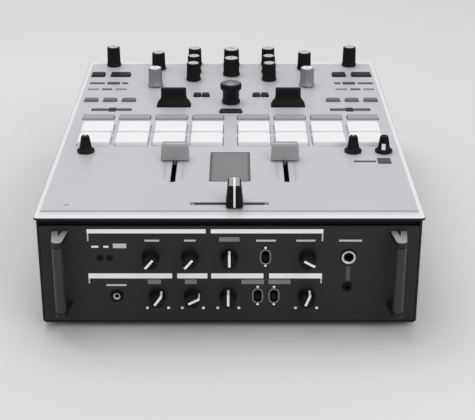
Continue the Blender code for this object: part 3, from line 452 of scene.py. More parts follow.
def plate_holes():
    """Rings around every opening of the plate that shows."""
    grow = HOLE_CLEARANCE + EDGE
    pads = [node for node in frame["nodes"] if node.startswith("pad_")]
    holes = [shrunk(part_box(node), PAD_FLANGE - grow, PAD_CORNER + EDGE, 0) for node in pads]
    for side in SIDES:
        holes += [shrunk(box, -grow, KEY_CORNER + EDGE, 0) for box in key_tops(side)]
        holes.append(shrunk(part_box(f"paddle_{side}"), -grow, PADDLE_CORNER, 0))
    for x, y, width, length in fader_slots():
        holes.append(centred(width + 2 * EDGE, length + 2 * EDGE, SLOT_CORNER, 0, x, y))
    holes.append(shrunk(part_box("meter_window"), -EDGE, WINDOW_CORNER, 0))
    return holes


def make_top_plate():
    """The painted field with its openings, inside a bevelled rim painted lighter than the field as a
    highlight, its outer edge and underside painted black as the shade under the plate's lip.
    """
    field_low = (PLATE_LOW.x + SIDE_BAND, FRONT_EDGE + FRONT_BAND)
    field_high = (PLATE_HIGH.x - SIDE_BAND, BACK_EDGE - BACK_BAND)
    field = (field_low, field_high)
    whole = (PLATE_LOW, PLATE_HIGH)
    sheet = cut_sheet(field, plate_holes(), PLATE_TOP - PLATE_UNDER)
    place = at(0, 0, PLATE_TOP)
    fix("top_plate_field", sheet, [SILVER], ["top_plate"], place, SHEET_SMOOTH)
    rim_top = PLATE_UNDER + PLATE_RIM
    rings = (
        shrunk(field, 0, SHEET_CORNER, PLATE_UNDER),
        shrunk(whole, EDGE, CORNER_RADIUS - EDGE, PLATE_UNDER),
        shrunk(whole, 0, CORNER_RADIUS, PLATE_UNDER + EDGE),
        shrunk(whole, 0, CORNER_RADIUS, rim_top - EDGE),
        shrunk(whole, EDGE, CORNER_RADIUS - EDGE, rim_top),
        shrunk(field, -EDGE, SHEET_CORNER, PLATE_TOP - EDGE / 6),
        shrunk(field, 0, SHEET_CORNER, PLATE_TOP - EDGE),
    )
    shape = bmesh.new()
    # Bevel bands in the rim's pale paint, a painted highlight; outer edge, underside and seam in black,
    # painted shade under the lip.
    loft(shape, rings, [1, 1, 1, 1, 0, 0, 1], closed=True)
    fix("top_plate_rim", shape, [RIM_PAINTED_HIGHLIGHT, BLACK_PAINT_AND_SHADE])


# Places of the plate's prints, from the centre line and the front edge
FRONT_LINE = 0.0124
FRONT_LINE_WIDTH = 0.0013
STRIP_STOPS = (0.0955, 0.1107, 0.1177, 0.1345)
STRIP_FRONT = 0.2488
STRIP_LENGTH = 0.0075
STRIP_EXTRA = 0.0020

# Label rows as distance from the front edge, and labels as insets of both ends, length and ink
LABEL_ROWS = (
    (0.3340, ((0.0075, 0.0230, 0.0066, 2), (0.0255, 0.0385, 0.0084, 0), (0.0405, 0.0470, 0.0066, 2))),
    (0.3146, ((0.0080, 0.0190, 0.0052, 1), (0.0220, 0.0320, 0.0058, 2), (0.0355, 0.0470, 0.0052, 1))),
)

# Single marks as ends across, ends along and ink
BEAT_MARKS = (
    ((0.1275, 0.139), (0.1125, 0.118), 0),
    ((0.1275, 0.139), (0.118, 0.126), 2),
    ((0.107, 0.126), (0.116, 0.120), 2),
)
CORNER_MARK = ((-0.131, -0.1275), (0.024, 0.026), 1)

# Fader scales and knob dials
CROSS_PLATE = (0.063, 0.0056)
CROSS_CORNER = 0.0012
SCALE_STEPS = 10
SCALE_GAP = 0.0062
SCALE_LENGTH = 0.0028
SCALE_WIDTH = 0.0006
DIAL_STEPS = 11
DIAL_SWEEP = 300.0
DIAL_GAP = 0.0014
DIAL_DOT = 0.0004

# Inside of the fader slots, and border of the display
WELL_DEPTH = 0.007
WELL_WALL = 0.0012
LINER_GAP = 0.00005
WINDOW_BORDER = 0.0022


def plate_bar(shape, across, along, band):
    """A print between two places from the centre line and two distances from the front edge."""
    low = (min(across), FRONT_EDGE + along[0])
    high = (max(across), FRONT_EDGE + along[1])
    bar(shape, low, high, PLATE_TOP - PRINT_DEPTH, PLATE_TOP + PRINT_PROUD, band=band)


def print_labels(shape):
    """The front line, the touch strips and label rows of both sides, and single marks."""
    half = PLATE_HIGH.x - SIDE_BAND
    plate_bar(shape, (-half, half), (FRONT_LINE, FRONT_LINE + FRONT_LINE_WIDTH), 1)
    for sign in (-1, 1):
        stops = [sign * stop for stop in STRIP_STOPS]
        for across, extra, band in zip(zip(stops, stops[1:]), (0.0, STRIP_EXTRA, 0.0), (3, 4, 3)):
            plate_bar(shape, across, (STRIP_FRONT - extra, STRIP_FRONT + STRIP_LENGTH + extra), band)
        for y, labels in LABEL_ROWS:
            for start, end, length, band in labels:
                across = [sign * (PLATE_HIGH.x - inset) for inset in (start, end)]
                plate_bar(shape, across, (y - length / 2, y + length / 2), band)
    for across, along, band in (*BEAT_MARKS, CORNER_MARK):
        plate_bar(shape, across, along, band)


def print_fader_scales(shape):
    """Ticks beside the channel faders and a plate around the crossfader's slot."""
    for x, y, width, length in fader_slots():
        if width > length:
            outer = (*CROSS_PLATE, CROSS_CORNER)
            inner = (width, length, CROSS_CORNER)
            surround(shape, outer, inner, -PRINT_DEPTH, PRINT_PROUD, 1, at(x, y, PLATE_TOP))
            continue
        travel = length - SLOT_EXTRA
        for step in range(SCALE_STEPS + 1):
            tick = y - FRONT_EDGE + travel * (step / SCALE_STEPS - 0.5)
            for sign in (-1, 1):
                across = [x + sign * reach for reach in (SCALE_GAP, SCALE_GAP + SCALE_LENGTH)]
                plate_bar(shape, across, (tick - SCALE_WIDTH / 2, tick + SCALE_WIDTH / 2), 1)


def print_dials(shape):
    """Dots around the tall knobs."""
    dot = ((DIAL_DOT, -PRINT_DEPTH), (DIAL_DOT, PRINT_PROUD))
    for node in TALL_KNOBS + FILTER_KNOBS:
        reach = knob_size(node)[0] + DIAL_GAP
        spot = middle(node)
        for step in range(DIAL_STEPS):
            angle = math.radians(DIAL_SWEEP * (step / (DIAL_STEPS - 1) - 0.5))
            x = spot.x + reach * math.sin(angle)
            y = spot.y + reach * math.cos(angle)
            if y < BACK_EDGE - BACK_BAND - DIAL_DOT:
                turned(shape, dot, at(x, y, PLATE_TOP), points=12, band=1)


def make_plate_prints():
    """Everything printed on the plate, as one piece."""
    shape = bmesh.new()
    print_labels(shape)
    print_fader_scales(shape)
    print_dials(shape)
    finishes = [DARK_INK, GREY_INK, FAINT_INK, STRIP_INK, KEY_BLACK]
    fix("plate_prints", shape, finishes)


def make_slot_wells():
    """Black liners on the fader slots' walls, painted shade in the slots, with a black trough below, so that
    nothing inside shows.
    """
    under = PLATE_UNDER - EDGE
    lip = PLATE_TOP - 2 * EDGE
    floor = under - WELL_DEPTH
    steps = (
        (-WELL_WALL, floor - WELL_WALL),
        (-WELL_WALL, under),
        (LINER_GAP, under),
        (LINER_GAP, lip),
        (LINER_GAP + EDGE, lip),
        (LINER_GAP + EDGE, floor),
    )
    shape = bmesh.new()
    for x, y, width, length in fader_slots():
        loft(shape, stepped(width, length, WELL_CORNER, steps, x, y))
    fix("fader_wells", shape, [SOCKET_BLACK_AND_SHADE])


def make_window():
    """The flat display pane, with a dark border under its edge."""
    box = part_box("meter_window")
    top = box[1].z
    rings = (
        shrunk(box, 0, WINDOW_CORNER, box[0].z),
        shrunk(box, 0, WINDOW_CORNER, top - EDGE),
        shrunk(box, EDGE, 0.0010, top),
        shrunk(box, WINDOW_BORDER, 0.0006, top),
    )
    shape = bmesh.new()
    loft(shape, rings, 1)
    shape.faces.ensure_lookup_table()
    shape.faces[-1].material_index = 0
    fix("meter_window_pane", shape, [SCREEN, SCREEN_EDGE], ["meter_window"])


# Pads and keys


def make_pads():
    """Silicone pads with round corners and a soft crown, all from one mesh."""
    size = span("pad_left_1")
    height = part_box("pad_left_1")[1].z - PLATE_TOP
    steps = (
        (0.0, -0.0034),
        (0.0, height - 0.0013),
        (0.00018, height - 0.0008),
        (0.0006, height - 0.0003),
        (0.0013, height - 0.00006),
        (0.0026, height),
    )
    shape = bmesh.new()
    loft(shape, stepped(size.x - 2 * PAD_FLANGE, size.y - 2 * PAD_FLANGE, PAD_CORNER, steps))
    data = mesh_of("pad", shape, [PAD])
    for node in sorted(frame["nodes"]):
        if node.startswith("pad_"):
            put(f"{node}_skin", data, node, [node], on_plate(node))


# Key finishes by distance from the back edge
KEY_FINISHES = ((0.121, 0), (0.142, 1), (0.170, 2), (0.200, 3))

# Rings of a key cap as inset and height, from the top
KEY_STEPS = ((0.0, -0.0034), (0.0, -0.0006), (0.0002, -0.00018), (0.0006, 0.0), (0.0014, -0.00008))


def make_keys():
    """Key caps of both keypads, coloured row by row."""
    for side in SIDES:
        shape = bmesh.new()
        for low, high in key_tops(side):
            size = high - low
            spot = (low + high) / 2
            band = next(index for limit, index in KEY_FINISHES if BACK_EDGE - spot.y < limit)
            steps = [(inset, high.z + rise) for inset, rise in KEY_STEPS]
            loft(shape, stepped(size.x, size.y, KEY_CORNER, steps, *spot.xy), band)
        finishes = [KEY_BLACK, KEY_DARK, KEY_GREEN, KEY_GREY]
        fix(f"{side}_keys", shape, finishes, [f"{side}_keypad"])


# Knobs

TALL_KNOBS = [f"{kind}_knob_{side}" for kind in ("effect", "trim", "high", "mid", "low") for side in SIDES]
TALL_KNOBS += ["master_knob", "booth_knob"]
FILTER_KNOBS = [f"filter_knob_{side}" for side in SIDES]

# Angle of each front knob's pointer at rest, clockwise from straight up
FRONT_KNOBS = {
    "mic_level_knob": -140,
    "mic_tone_knob": -140,
    "aux_level_knob": 0,
    "cue_mix_knob": 120,
    "contour_left_knob": 35,
    "contour_right_knob": 63,
    "crossfader_curve_knob": 0,
    "phones_level_knob": 22,
}
FLUTE = 0.00045
POINTER = 0.0011
TOP_POINTER = 0.0007
FRONT_POINTER = 0.0019

# The beat knob's mark: its width, its share of the stem's height and its angle at rest
BEAT_POINTER = (0.0033, 0.4)
BEAT_ANGLE = 170


def knob_size(node):
    """(radius, height above the plate) of a top knob."""
    return span(node).x / 2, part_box(node)[1].z - PLATE_TOP


def knob_foot(radius, depth=0.002):
    """First sections of a knob: the shaft from a depth below the surface, and a rounded lower edge."""
    return (
        (SHAFT_RADIUS, -depth),
        (SHAFT_RADIUS, KNOB_LIFT),
        (radius - EDGE, KNOB_LIFT),
        (radius, KNOB_LIFT + EDGE),
    )


def pointer(shape, width, ends, heights, band, radius=PRINT_CORNER):
    """A raised line on a knob, between two distances from its axis and two heights."""
    bar(shape, (-width / 2, ends[0]), (width / 2, ends[1]), *heights, radius, band)


def tall_knob(radius, height, inlay):
    """A straight fluted knob with a smooth collar, an inlaid top of that radius and a pointer line."""
    waist = radius - 0.0006
    top = radius - 0.0009
    sections = (
        *knob_foot(radius),
        (radius, 0.0026),
        (radius - EDGE, 0.0030),
        (waist, 0.0036, FLUTE),
        (top, height - 0.0016, FLUTE),
        (top - 0.0002, height - 0.0008),
        (top - 0.0006, height - 0.0002),
        (top - 0.0010, height),
        (inlay, height, 0, 1),
        (inlay - 0.0003, height - 0.0002, 0, 1),
    )
    shape = bmesh.new()
    turned(shape, sections, points=GRIP_POINTS)
    pointer(shape, TOP_POINTER, (0.0014, inlay), (height - 0.0004, height + 0.00005), 3)
    pointer(shape, POINTER, (top - 0.0014, top + 0.00012), (0.0048, height - 0.0002), 2)
    return shape


def skirt_knob(mark, reach):
    """A slim fluted stem on a wide round skirt, with a mark of that width up to a share of its height."""
    radius, height = knob_size("cue_knob")
    stem = 0.0038
    collar = 0.0050
    sections = (
        *knob_foot(radius),
        (radius, 0.0019),
        (radius - 0.0004, 0.0025),
        (radius - 0.0014, 0.0030),
        (collar + 0.0005, 0.0040),
        (collar, 0.0060, FLUTE),
        (stem, height - 0.0014, FLUTE),
        (stem - 0.0003, height - 0.0005),
        (stem - 0.0008, height, 0, 1),
        (stem - 0.0011, height - 0.0002, 0, 1),
    )
    shape = bmesh.new()
    turned(shape, sections, points=GRIP_POINTS)
    pointer(shape, mark, (0.0004, stem - 0.0009), (height - 0.0004, height + 0.00005), 3)
    pointer(shape, mark, (radius - 0.0018, radius + 0.00008), (0.0010, 0.0031), 3)
    half = mark / 2
    foot = 0.0058
    rise = reach * (height - 0.0014 - foot)
    slope = ((collar + 0.0006, 0.0038), (collar, foot), (collar + reach * (stem - collar), foot + rise))
    loft(shape, [outline((-half, edge - 0.0008), (half, edge + 0.00012), 0.0003, z) for edge, z in slope], 2)
    return shape


def encoder():
    """A push encoder: a knurled brim on a narrower neck, with a dished top and a pale centre disc, a painted
    highlight.
    """
    radius, height = knob_size("browse_encoder")
    neck = 0.0080
    brim = height - 0.0055
    sections = (
        *knob_foot(neck + 0.0009),
        (neck + 0.0009, 0.0030),
        (neck + 0.0004, 0.0038),
        (neck, 0.0042),
        (neck, brim - 0.0036),
        (neck + 0.0006, brim - 0.0018),
        (radius - 0.0004, brim - 0.0003, FLUTE),
        (radius, brim + 0.0004, FLUTE),
        (radius, height - 0.0014, FLUTE),
        (radius - 0.0005, height - 0.0006),
        (radius - 0.0014, height, 0, 1),
        (radius - 0.0030, height - 0.0001, 0, 1),
        # Pale centre disc of the dish: a painted highlight.
        (radius - 0.0058, height - 0.0007, 0, 2),
        (radius - 0.0062, height - 0.0004, 0, 2),
        (radius - 0.0080, height - 0.0002, 0, 2),
    )
    shape = bmesh.new()
    turned(shape, sections, points=GRIP_POINTS)
    return shape


def front_knob():
    """A short fluted knob with a white line over its face and along its side."""
    radius = span("mic_level_knob").x / 2
    height = FACE_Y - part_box("mic_level_knob")[0].y
    sections = (
        *knob_foot(radius, 0.003),
        (radius, 0.0022),
        (radius - 0.0003, 0.0026),
        (radius - 0.0006, 0.0032, FLUTE),
        (radius - 0.0008, height - 0.0014, FLUTE),
        (radius - 0.0010, height - 0.0006),
        (radius - 0.0016, height - 0.0001, 0, 1),
        (radius - 0.0022, height, 0, 1),
    )
    shape = bmesh.new()
    turned(shape, sections, points=GRIP_POINTS)
    over = (height - 0.0006, height + 0.00008)
    along = (0.0030, height - 0.0002)
    pointer(shape, FRONT_POINTER, (-0.0034, radius - 0.0014), over, 2, 0.0004)
    pointer(shape, FRONT_POINTER, (radius - 0.0024, radius - 0.0004), along, 2, 0.0004)
    return shape


def make_knobs():
    """Every turning control, with one mesh for each kind and size."""
    for nodes, name, margin, finishes in (
        (TALL_KNOBS, "black_knob", 0.0022, [BLACK_GRIP, KNOB_TOP, WHITE_INK, GREY_INK]),
        (FILTER_KNOBS, "silver_knob", 0.0020, [SATIN_AND_HIGHLIGHT, PALE_CAP, DARK_INK, GREY_INK]),
    ):
        meshes = {}
        for node in nodes:
            radius, height = knob_size(node)
            size = (round(radius, 4), round(height, 4))
            if size not in meshes:
                shape = tall_knob(radius, height, radius - margin)
                meshes[size] = mesh_of(f"{name}_{len(meshes)}", shape, finishes)
            put(f"{node}_cap", meshes[size], node, [node], on_plate(node))
    plain_finishes = [BLACK_GRIP, BLACK_GRIP, WHITE_INK, WHITE_INK]
    plain = mesh_of("skirt_knob", skirt_knob(POINTER, 1), plain_finishes)
    marked_finishes = [BLACK_GRIP, BLACK_GRIP, WHITE_INK, BLACK_GRIP]
    marked = mesh_of("marked_knob", skirt_knob(*BEAT_POINTER), marked_finishes)
    # The encoder's dish centre takes the satin paint as a painted highlight.
    wheel = mesh_of("browse_wheel", encoder(), [BLACK_GRIP, KEY_DARK, SATIN_AND_HIGHLIGHT])
    for node, data, angle in (
        ("cue_knob", plain, 0),
        ("split_knob", plain, 0),
        ("beat_knob", marked, BEAT_ANGLE),
        ("browse_encoder", wheel, 0),
    ):
        put(f"{node}_cap", data, node, [node], on_plate(node) @ turn(angle, "Z"))
    short = mesh_of("front_knob", front_knob(), [BLACK_GRIP, BLACK_GRIP, WHITE_INK])
    for node, angle in FRONT_KNOBS.items():
        put(f"{node}_cap", short, node, [node], on_front(node) @ turn(-angle, "Z"))


# Faders and paddles

PADDLE_RIBS = 4
RIB_PITCH = 0.0014
RIB_STEPS = ((0.0051, 0.0), (0.0057, 0.0003), (0.0057, 0.0006), (0.0051, 0.0009))


def fader_cap(node, taper, line):
    """A tapered cap with a dished top and a line along it, on a flat stem. Bands: sides, dish, line."""
    length, width = sorted(span(node).xy)
    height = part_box(node)[1].z - PLATE_TOP
    foot = 0.0010
    sides = (
        (0.0006, 0.0010, foot),
        (0.0, 0.0014, foot + 0.0004),
        (0.0, 0.0014, foot + 0.0020),
        (taper * 0.20, 0.0014, foot + 0.0034),
        (taper * 0.50, 0.0014, (foot + height) / 2),
        (taper, 0.0014, height - 0.0012),
        (taper + 0.0003, 0.0013, height - 0.0004),
        (taper + 0.0010, 0.0011, height),
    )
    dish = ((0.0020, 0.0016, 0.0009, height - 0.0002), (0.0042, 0.0026, 0.0007, height - 0.0009))
    rings = [centred(STEM_THICKNESS, STEM_LENGTH, 0.0004, z) for z in (-0.004, foot)]
    rings += [centred(width - 2 * inset, length - 2 * inset, corner, z) for inset, corner, z in sides]
    for end, side, corner, z in dish:
        rings.append(centred(width - 2 * (taper + end), length - 2 * (taper + side), corner, z))
    shape = bmesh.new()
    loft(shape, rings, [0] * (len(rings) - 1 - len(dish)) + [1] * len(dish))
    proud = 0.00012
    slab = [centred(width - 2 * inset + 2 * proud, line, 0.0003, z) for inset, _, z in sides[1:]]
    slab.append(centred(width - 2 * sides[-1][0], line, 0.0003, height + proud))
    loft(shape, slab, 2)
    return shape


def make_faders():
    """Two channel caps across the plate and the crossfader cap along it."""
    shape = fader_cap("channel_fader_left", taper=0.0008, line=0.0009)
    channel = mesh_of("channel_cap", shape, [CAP_GREY, CAP_DARK, PALE_CAP])
    for side in SIDES:
        node = f"channel_fader_{side}"
        put(f"{node}_cap", channel, node, [node], on_plate(node))
    shape = fader_cap("crossfader", taper=0.0016, line=0.0017)
    cross = mesh_of("crossfader_cap", shape, [BLACK_GRIP, CAP_GREY, WHITE_INK])
    place = on_plate("crossfader") @ turn(90, "Z")
    put("crossfader_cap", cross, "crossfader", ["crossfader"], place)


def make_paddles():
    """Rocking paddles: a ribbed blade that flares into a round foot."""
    size = span("paddle_left")
    foot = size.y / 2
    half = size.x / 2
    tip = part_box("paddle_left")[1].z - PLATE_TOP + PADDLE_AXLE_DROP
    shape = bmesh.new()
    ends = ((foot - 0.0010, -half), (foot - 0.0003, 0.0002 - half), (foot, 0.0010 - half))
    turned(shape, (*ends, *[(radius, -x) for radius, x in reversed(ends)]), turn(90, "Y"))
    blade = (
        (0.0310, 0.0120, 0.0020, 0.0030),
        (0.0305, 0.0108, 0.0020, foot - 0.0004),
        (0.0300, 0.0092, 0.0020, foot + 0.0006),
        (0.0278, 0.0076, 0.0020, foot + 0.0016),
        (0.0260, 0.0064, 0.0020, foot + 0.0030),
        (0.0250, 0.0055, 0.0020, foot + 0.0048),
        (0.0246, 0.0050, 0.0018, foot + 0.0072),
        (0.0244, 0.0048, 0.0014, tip - 0.0016),
        (0.0244, 0.0044, 0.0010, tip - 0.0008),
        (0.0240, 0.0038, 0.0008, tip - 0.0002),
        (0.0232, 0.0030, 0.0006, tip),
    )
    loft(shape, [centred(*section) for section in blade])
    for rib in range(PADDLE_RIBS):
        z = foot + 0.0062 + rib * RIB_PITCH
        loft(shape, [centred(0.0190, thickness, 0.0003, z + rise) for thickness, rise in RIB_STEPS])
    data = mesh_of("paddle", shape, [BLACK_GRIP])
    for side in SIDES:
        node = f"paddle_{side}"
        put(f"{node}_lever", data, node, [node], on_plate(node, PADDLE_AXLE_DROP))


# Front panel, with heights below the plate's top

SWITCHES = ("cue_select_switch", "reverse_left_switch", "reverse_right_switch")
PHONES_X = 0.094
PHONES_DROP = 0.035
PHONES_BARREL = 0.0048
MINI_BARREL = 0.0028
MINI_BORE = 0.00175

# Mini jacks as place across, drop, nut radius and material of the ring
MINI_JACKS = ((PHONES_X, 0.0615, 0.0038, 1), (-0.090, 0.0695, 0.0052, 0))

# Group bars as drops of top and foot, foot of the end lines, and ends of each bar
BAR_LINE = 0.0011
LOWER_ROW = 0.0541
UPPER_GROUPS = ((-0.1115, -0.0185), (-0.0145, 0.0735))
LOWER_GROUPS = ((-0.112, -0.0455), (-0.0415, -0.0175), (-0.0145, 0.027), (0.0315, 0.0735))
GROUP_BARS = (
    ((0.0110, 0.0146), 0.0213, UPPER_GROUPS),
    ((0.0497, LOWER_ROW), 0.0586, LOWER_GROUPS),
)

# Label bars as drops of top and foot, ink, and ends of each bar
FRONT_LABELS = (
    ((0.0201, 0.0217), 1, ((-0.0665, -0.055), (-0.0355, -0.0265), (0.021, 0.0365))),
    ((0.0201, 0.0217), 1, ((0.0525, 0.0675), (0.086, 0.104))),
    ((0.0179, 0.0218), 2, ((-0.008, 0.008),)),
    ((0.0552, 0.0592), 2, ((-0.065, -0.0545), (-0.0355, -0.026), (0.0095, 0.0275), (0.031, 0.0485))),
    ((0.0254, 0.0270), 0, ((-0.1085, -0.103), (-0.099, -0.095))),
    ((0.0235, 0.0274), 1, ((-0.0915, -0.081),)),
    ((0.0593, 0.0609), 1, ((-0.098, -0.082),)),
    ((0.0434, 0.0561), 3, ((PHONES_X - 0.0017, PHONES_X + 0.0017),)),
)

# Trimmer heads, and tick dots beside the lower knobs
TRIMMERS = (-0.102, -0.0945)
TRIMMER_DROP = 0.036
LOWER_TICK_DROP = 0.0807
LOWER_TICK_REACH = 0.0085
LOWER_TICK_RADIUS = 0.0012

# Guard handles
ARM_THICKNESS = 0.004
ARM_ROOT = 0.0134
ARM_NOSE = 0.0045
NOSE_STEPS = 16
ROD_RADIUS = 0.0042
ROD_NECK = 0.0035
ARM_DARK_WEDGE = (0.0032, 0.0105)

# Slide switches, and the gap under the plate's front edge, whose recess is painted black as shade
SWITCH_DOT_REACH = 0.0078
SWITCH_DOT_RADIUS = 0.0010
SWITCH_SLOT = (0.0046, 0.0106)
SWITCH_GRIP = (0.0032, 0.0042)
SWITCH_PLATE_TOP = -0.0023
SWITCH_PLATE_FOOT = -0.0036
SWITCH_RIB_PITCH = 0.0011
SWITCH_RIB = (0.0024, 0.0005)
SHADOW_GAP = 0.0058
GAP_RECESS = 0.003


def on_face(x, drop):
    """A place on the front panel, at a height below the plate's top."""
    return ON_FRONT @ at(x, PLATE_TOP - drop, 0)


def front_bar(shape, across, drops, band=0):
    """A print on the front panel between two places across it and two heights below the plate's top."""
    low = (across[0], PLATE_TOP - drops[1])
    high = (across[1], PLATE_TOP - drops[0])
    bar(shape, low, high, -PRINT_DEPTH, PRINT_PROUD, PRINT_CORNER, band, ON_FRONT)


def front_dot(shape, x, drop, radius):
    """A round print on the front panel."""
    turned(shape, ((radius, -PRINT_DEPTH), (radius, PRINT_PROUD)), on_face(x, drop), points=16)


def make_front_panel():
    """The charcoal sheet with its switch slots and jack holes, a foot return, and a recess on top painted
    black as the shade under the plate.
    """
    low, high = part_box("front_panel")
    top = PLATE_UNDER - SHADOW_GAP
    holes = []
    for node in SWITCHES:
        spot = middle(node)
        holes.append(centred(*[size + 2 * EDGE for size in SWITCH_SLOT], 0.0012, 0, spot.x, spot.z))
    holes.append(round_hole(PHONES_BARREL + 2 * EDGE, PHONES_X, PLATE_TOP - PHONES_DROP))
    for x, drop, _, _ in MINI_JACKS:
        holes.append(round_hole(MINI_BARREL + 2 * EDGE, x, PLATE_TOP - drop))
    sheet = cut_sheet(((low.x, low.z), (high.x, top)), holes, PANEL_SHEET)
    fix("front_panel_sheet", sheet, [CHARCOAL], ["front_panel"], ON_FRONT, SHEET_SMOOTH)
    shape = bmesh.new()
    bar(shape, (low.x, low.z), (high.x, low.z + PANEL_SHEET), -PANEL_FLANGE, -PANEL_SHEET, EDGE, 0, ON_FRONT)
    recess_low = (low.x, top - SHADOW_GAP)
    recess_high = (high.x, PLATE_UNDER - EDGE)
    # The recess behind the gap is painted black: painted shade under the plate's front edge.
    bar(shape, recess_low, recess_high, -PANEL_FLANGE, -GAP_RECESS, EDGE, 1, ON_FRONT)
    fix("front_panel_returns", shape, [CHARCOAL, SOCKET_BLACK_AND_SHADE])


def make_front_prints():
    """Group bars, label bars, tick dots and switch dots in pale inks."""
    shape = bmesh.new()
    for drops, end, bars in GROUP_BARS:
        for across in bars:
            front_bar(shape, across, drops)
        left = bars[0][0]
        right = bars[-1][1]
        for across in ((left, left + BAR_LINE), (right - BAR_LINE, right)):
            front_bar(shape, across, (drops[1], end), 1)
    for drops, band, labels in FRONT_LABELS:
        for across in labels:
            front_bar(shape, across, drops, band)
    for node in FRONT_KNOBS:
        spot = middle(node)
        if PLATE_TOP - spot.z > LOWER_ROW:
            for sign in (-1, 1):
                front_dot(shape, spot.x + sign * LOWER_TICK_REACH, LOWER_TICK_DROP, LOWER_TICK_RADIUS)
    for node in SWITCHES:
        spot = middle(node)
        for sign in (-1, 1):
            front_dot(shape, spot.x, PLATE_TOP - spot.z + sign * SWITCH_DOT_REACH, SWITCH_DOT_RADIUS)
    fix("front_prints", shape, [PANEL_INK, PALE_INK, GREY_INK, FAINT_INK])


def make_front_jacks():
    """The headphone socket with its ring, the mini jacks and two trimmer heads."""
    shape = bmesh.new()
    phones = (
        (PHONES_BARREL, -0.0130),
        (PHONES_BARREL, -0.0005),
        (0.0065, -0.0005),
        (0.0065, 0.0010),
        (0.0062, 0.0014),
        (0.0057, 0.0015, 0, 0),
        (0.0055, 0.0019, 0, 0),
        (0.0050, 0.0021, 0, 0),
        (0.0044, 0.0019, 0, 0),
        (0.0039, 0.0012),
        (0.00325, 0.0008),
        (0.00325, -0.0120),
    )
    turned(shape, phones, on_face(PHONES_X, PHONES_DROP), band=1)
    for x, drop, nut, ring in MINI_JACKS:
        small = (
            (MINI_BARREL, -0.0110),
            (MINI_BARREL, -0.0005),
            (nut, -0.0005),
            (nut, 0.0008),
            (nut - EDGE, 0.0014),
            (0.0029, 0.0016),
            (0.0027, 0.0016, 0, ring),
            (0.0020, 0.0013, 0, ring),
            (MINI_BORE, 0.0010),
            (MINI_BORE, -0.0100),
        )
        turned(shape, small, on_face(x, drop), band=1)
    for x in TRIMMERS:
        head = ((0.0026, -0.0005), (0.0026, 0.0005), (0.0021, 0.0009), (0.0014, 0.0004))
        turned(shape, head, on_face(x, TRIMMER_DROP), points=24, band=1)
    fix("front_jacks", shape, [RING_METAL, SOCKET_BLACK_AND_SHADE])


def make_switches():
    """Slide switches: a ribbed lever in a pale oval bezel."""
    size = span("cue_select_switch")
    reach = FACE_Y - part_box("cue_select_switch")[0].y
    lever = bmesh.new()
    plate = [centred(size.x, size.z, 0.0010, z) for z in (SWITCH_PLATE_FOOT, SWITCH_PLATE_TOP)]
    steps = ((0.0, SWITCH_PLATE_TOP), (0.0, reach - 0.0006), (0.0003, reach - 0.0001), (0.0007, reach))
    loft(lever, plate + stepped(*SWITCH_GRIP, 0.0005, steps))
    for rib in (-1, 0, 1):
        y = rib * SWITCH_RIB_PITCH
        loft(lever, [centred(*SWITCH_RIB, 0.0002, z, 0, y) for z in (reach - 0.0004, reach + 0.0003)])
    data = mesh_of("slide_switch", lever, [BLACK_GRIP])
    width, length = SWITCH_SLOT
    slot = (width, length, 0.0015)
    field = (width + 0.0022, length + 0.0006, 0.0030)
    ring = (width + 0.0042, length + 0.0026, 0.0042)
    bezel = bmesh.new()
    for node in SWITCHES:
        put(f"{node}_lever", data, node, [node], on_front(node))
        surround(bezel, field, slot, -0.0004, 0.0002, 1, on_front(node))
        surround(bezel, ring, field, -0.0005, 0.0007, 0, on_front(node))
    fix("switch_bezels", bezel, [GREY_INK, SOCKET_BLACK_AND_SHADE])


def arm_ring(x, y, inset, z):
    """Outline of a handle's arm: wide at the panel, with a round nose about the rod."""
    root = ARM_ROOT / 2 - inset
    nose = ARM_NOSE - inset
    back = FACE_Y + EDGE - inset
    ring = [(x + root, back, z), (x - root, back, z)]
    for step in range(NOSE_STEPS + 1):
        angle = math.pi * (1 + step / NOSE_STEPS)
        ring.append((x + nose * math.cos(angle), y + nose * math.sin(angle), z))
    return ring


def make_handles():
    """Guard handles: an upright rod between two black flat arms, the upper arm's top painted pale as a
    highlight, with a dark wedge in it.
    """
    for side in SIDES:
        node = f"{side}_handle"
        low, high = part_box(node)
        x = (low.x + high.x) / 2
        y = low.y + ARM_NOSE
        shape = bmesh.new()
        # The upper arm's top takes the pale paint, a painted highlight; the lower arm's top stays black.
        for top, face in ((high.z, 0), (low.z + ARM_THICKNESS, 1)):
            foot = top - ARM_THICKNESS
            steps = ((EDGE, foot), (0.0, foot + EDGE), (0.0, top - EDGE), (EDGE, top), (2 * EDGE, top))
            loft(shape, [arm_ring(x, y, inset, z) for inset, z in steps], [1, 1, 1, face])
        # A dark wedge laid flat into the upper arm's painted highlight.
        half = ARM_DARK_WEDGE[0] / 2
        dark_wedge = ((x - half, FACE_Y), (x, FACE_Y - ARM_DARK_WEDGE[1]), (x + half, FACE_Y))
        heights = (high.z - PRINT_DEPTH, high.z + PRINT_PROUD)
        loft(shape, [[(px, py, z) for px, py in dark_wedge] for z in heights], 2)
        bottom = low.z + ARM_THICKNESS
        top = high.z - ARM_THICKNESS
        upright = (
            (ROD_NECK, bottom - EDGE),
            (ROD_NECK, bottom + 0.0006),
            (ROD_RADIUS, bottom + 0.0010),
            (ROD_RADIUS, top - 0.0010),
            (ROD_NECK, top - 0.0006),
            (ROD_NECK, top + EDGE),
        )
        turned(shape, upright, at(x, y, 0), band=2)
        fix(f"{side}_guard", shape, [ARM_TOP_HIGHLIGHT, BLACK_PAINT_AND_SHADE, ROD_METAL], [node])


# Case, rear panel and feet

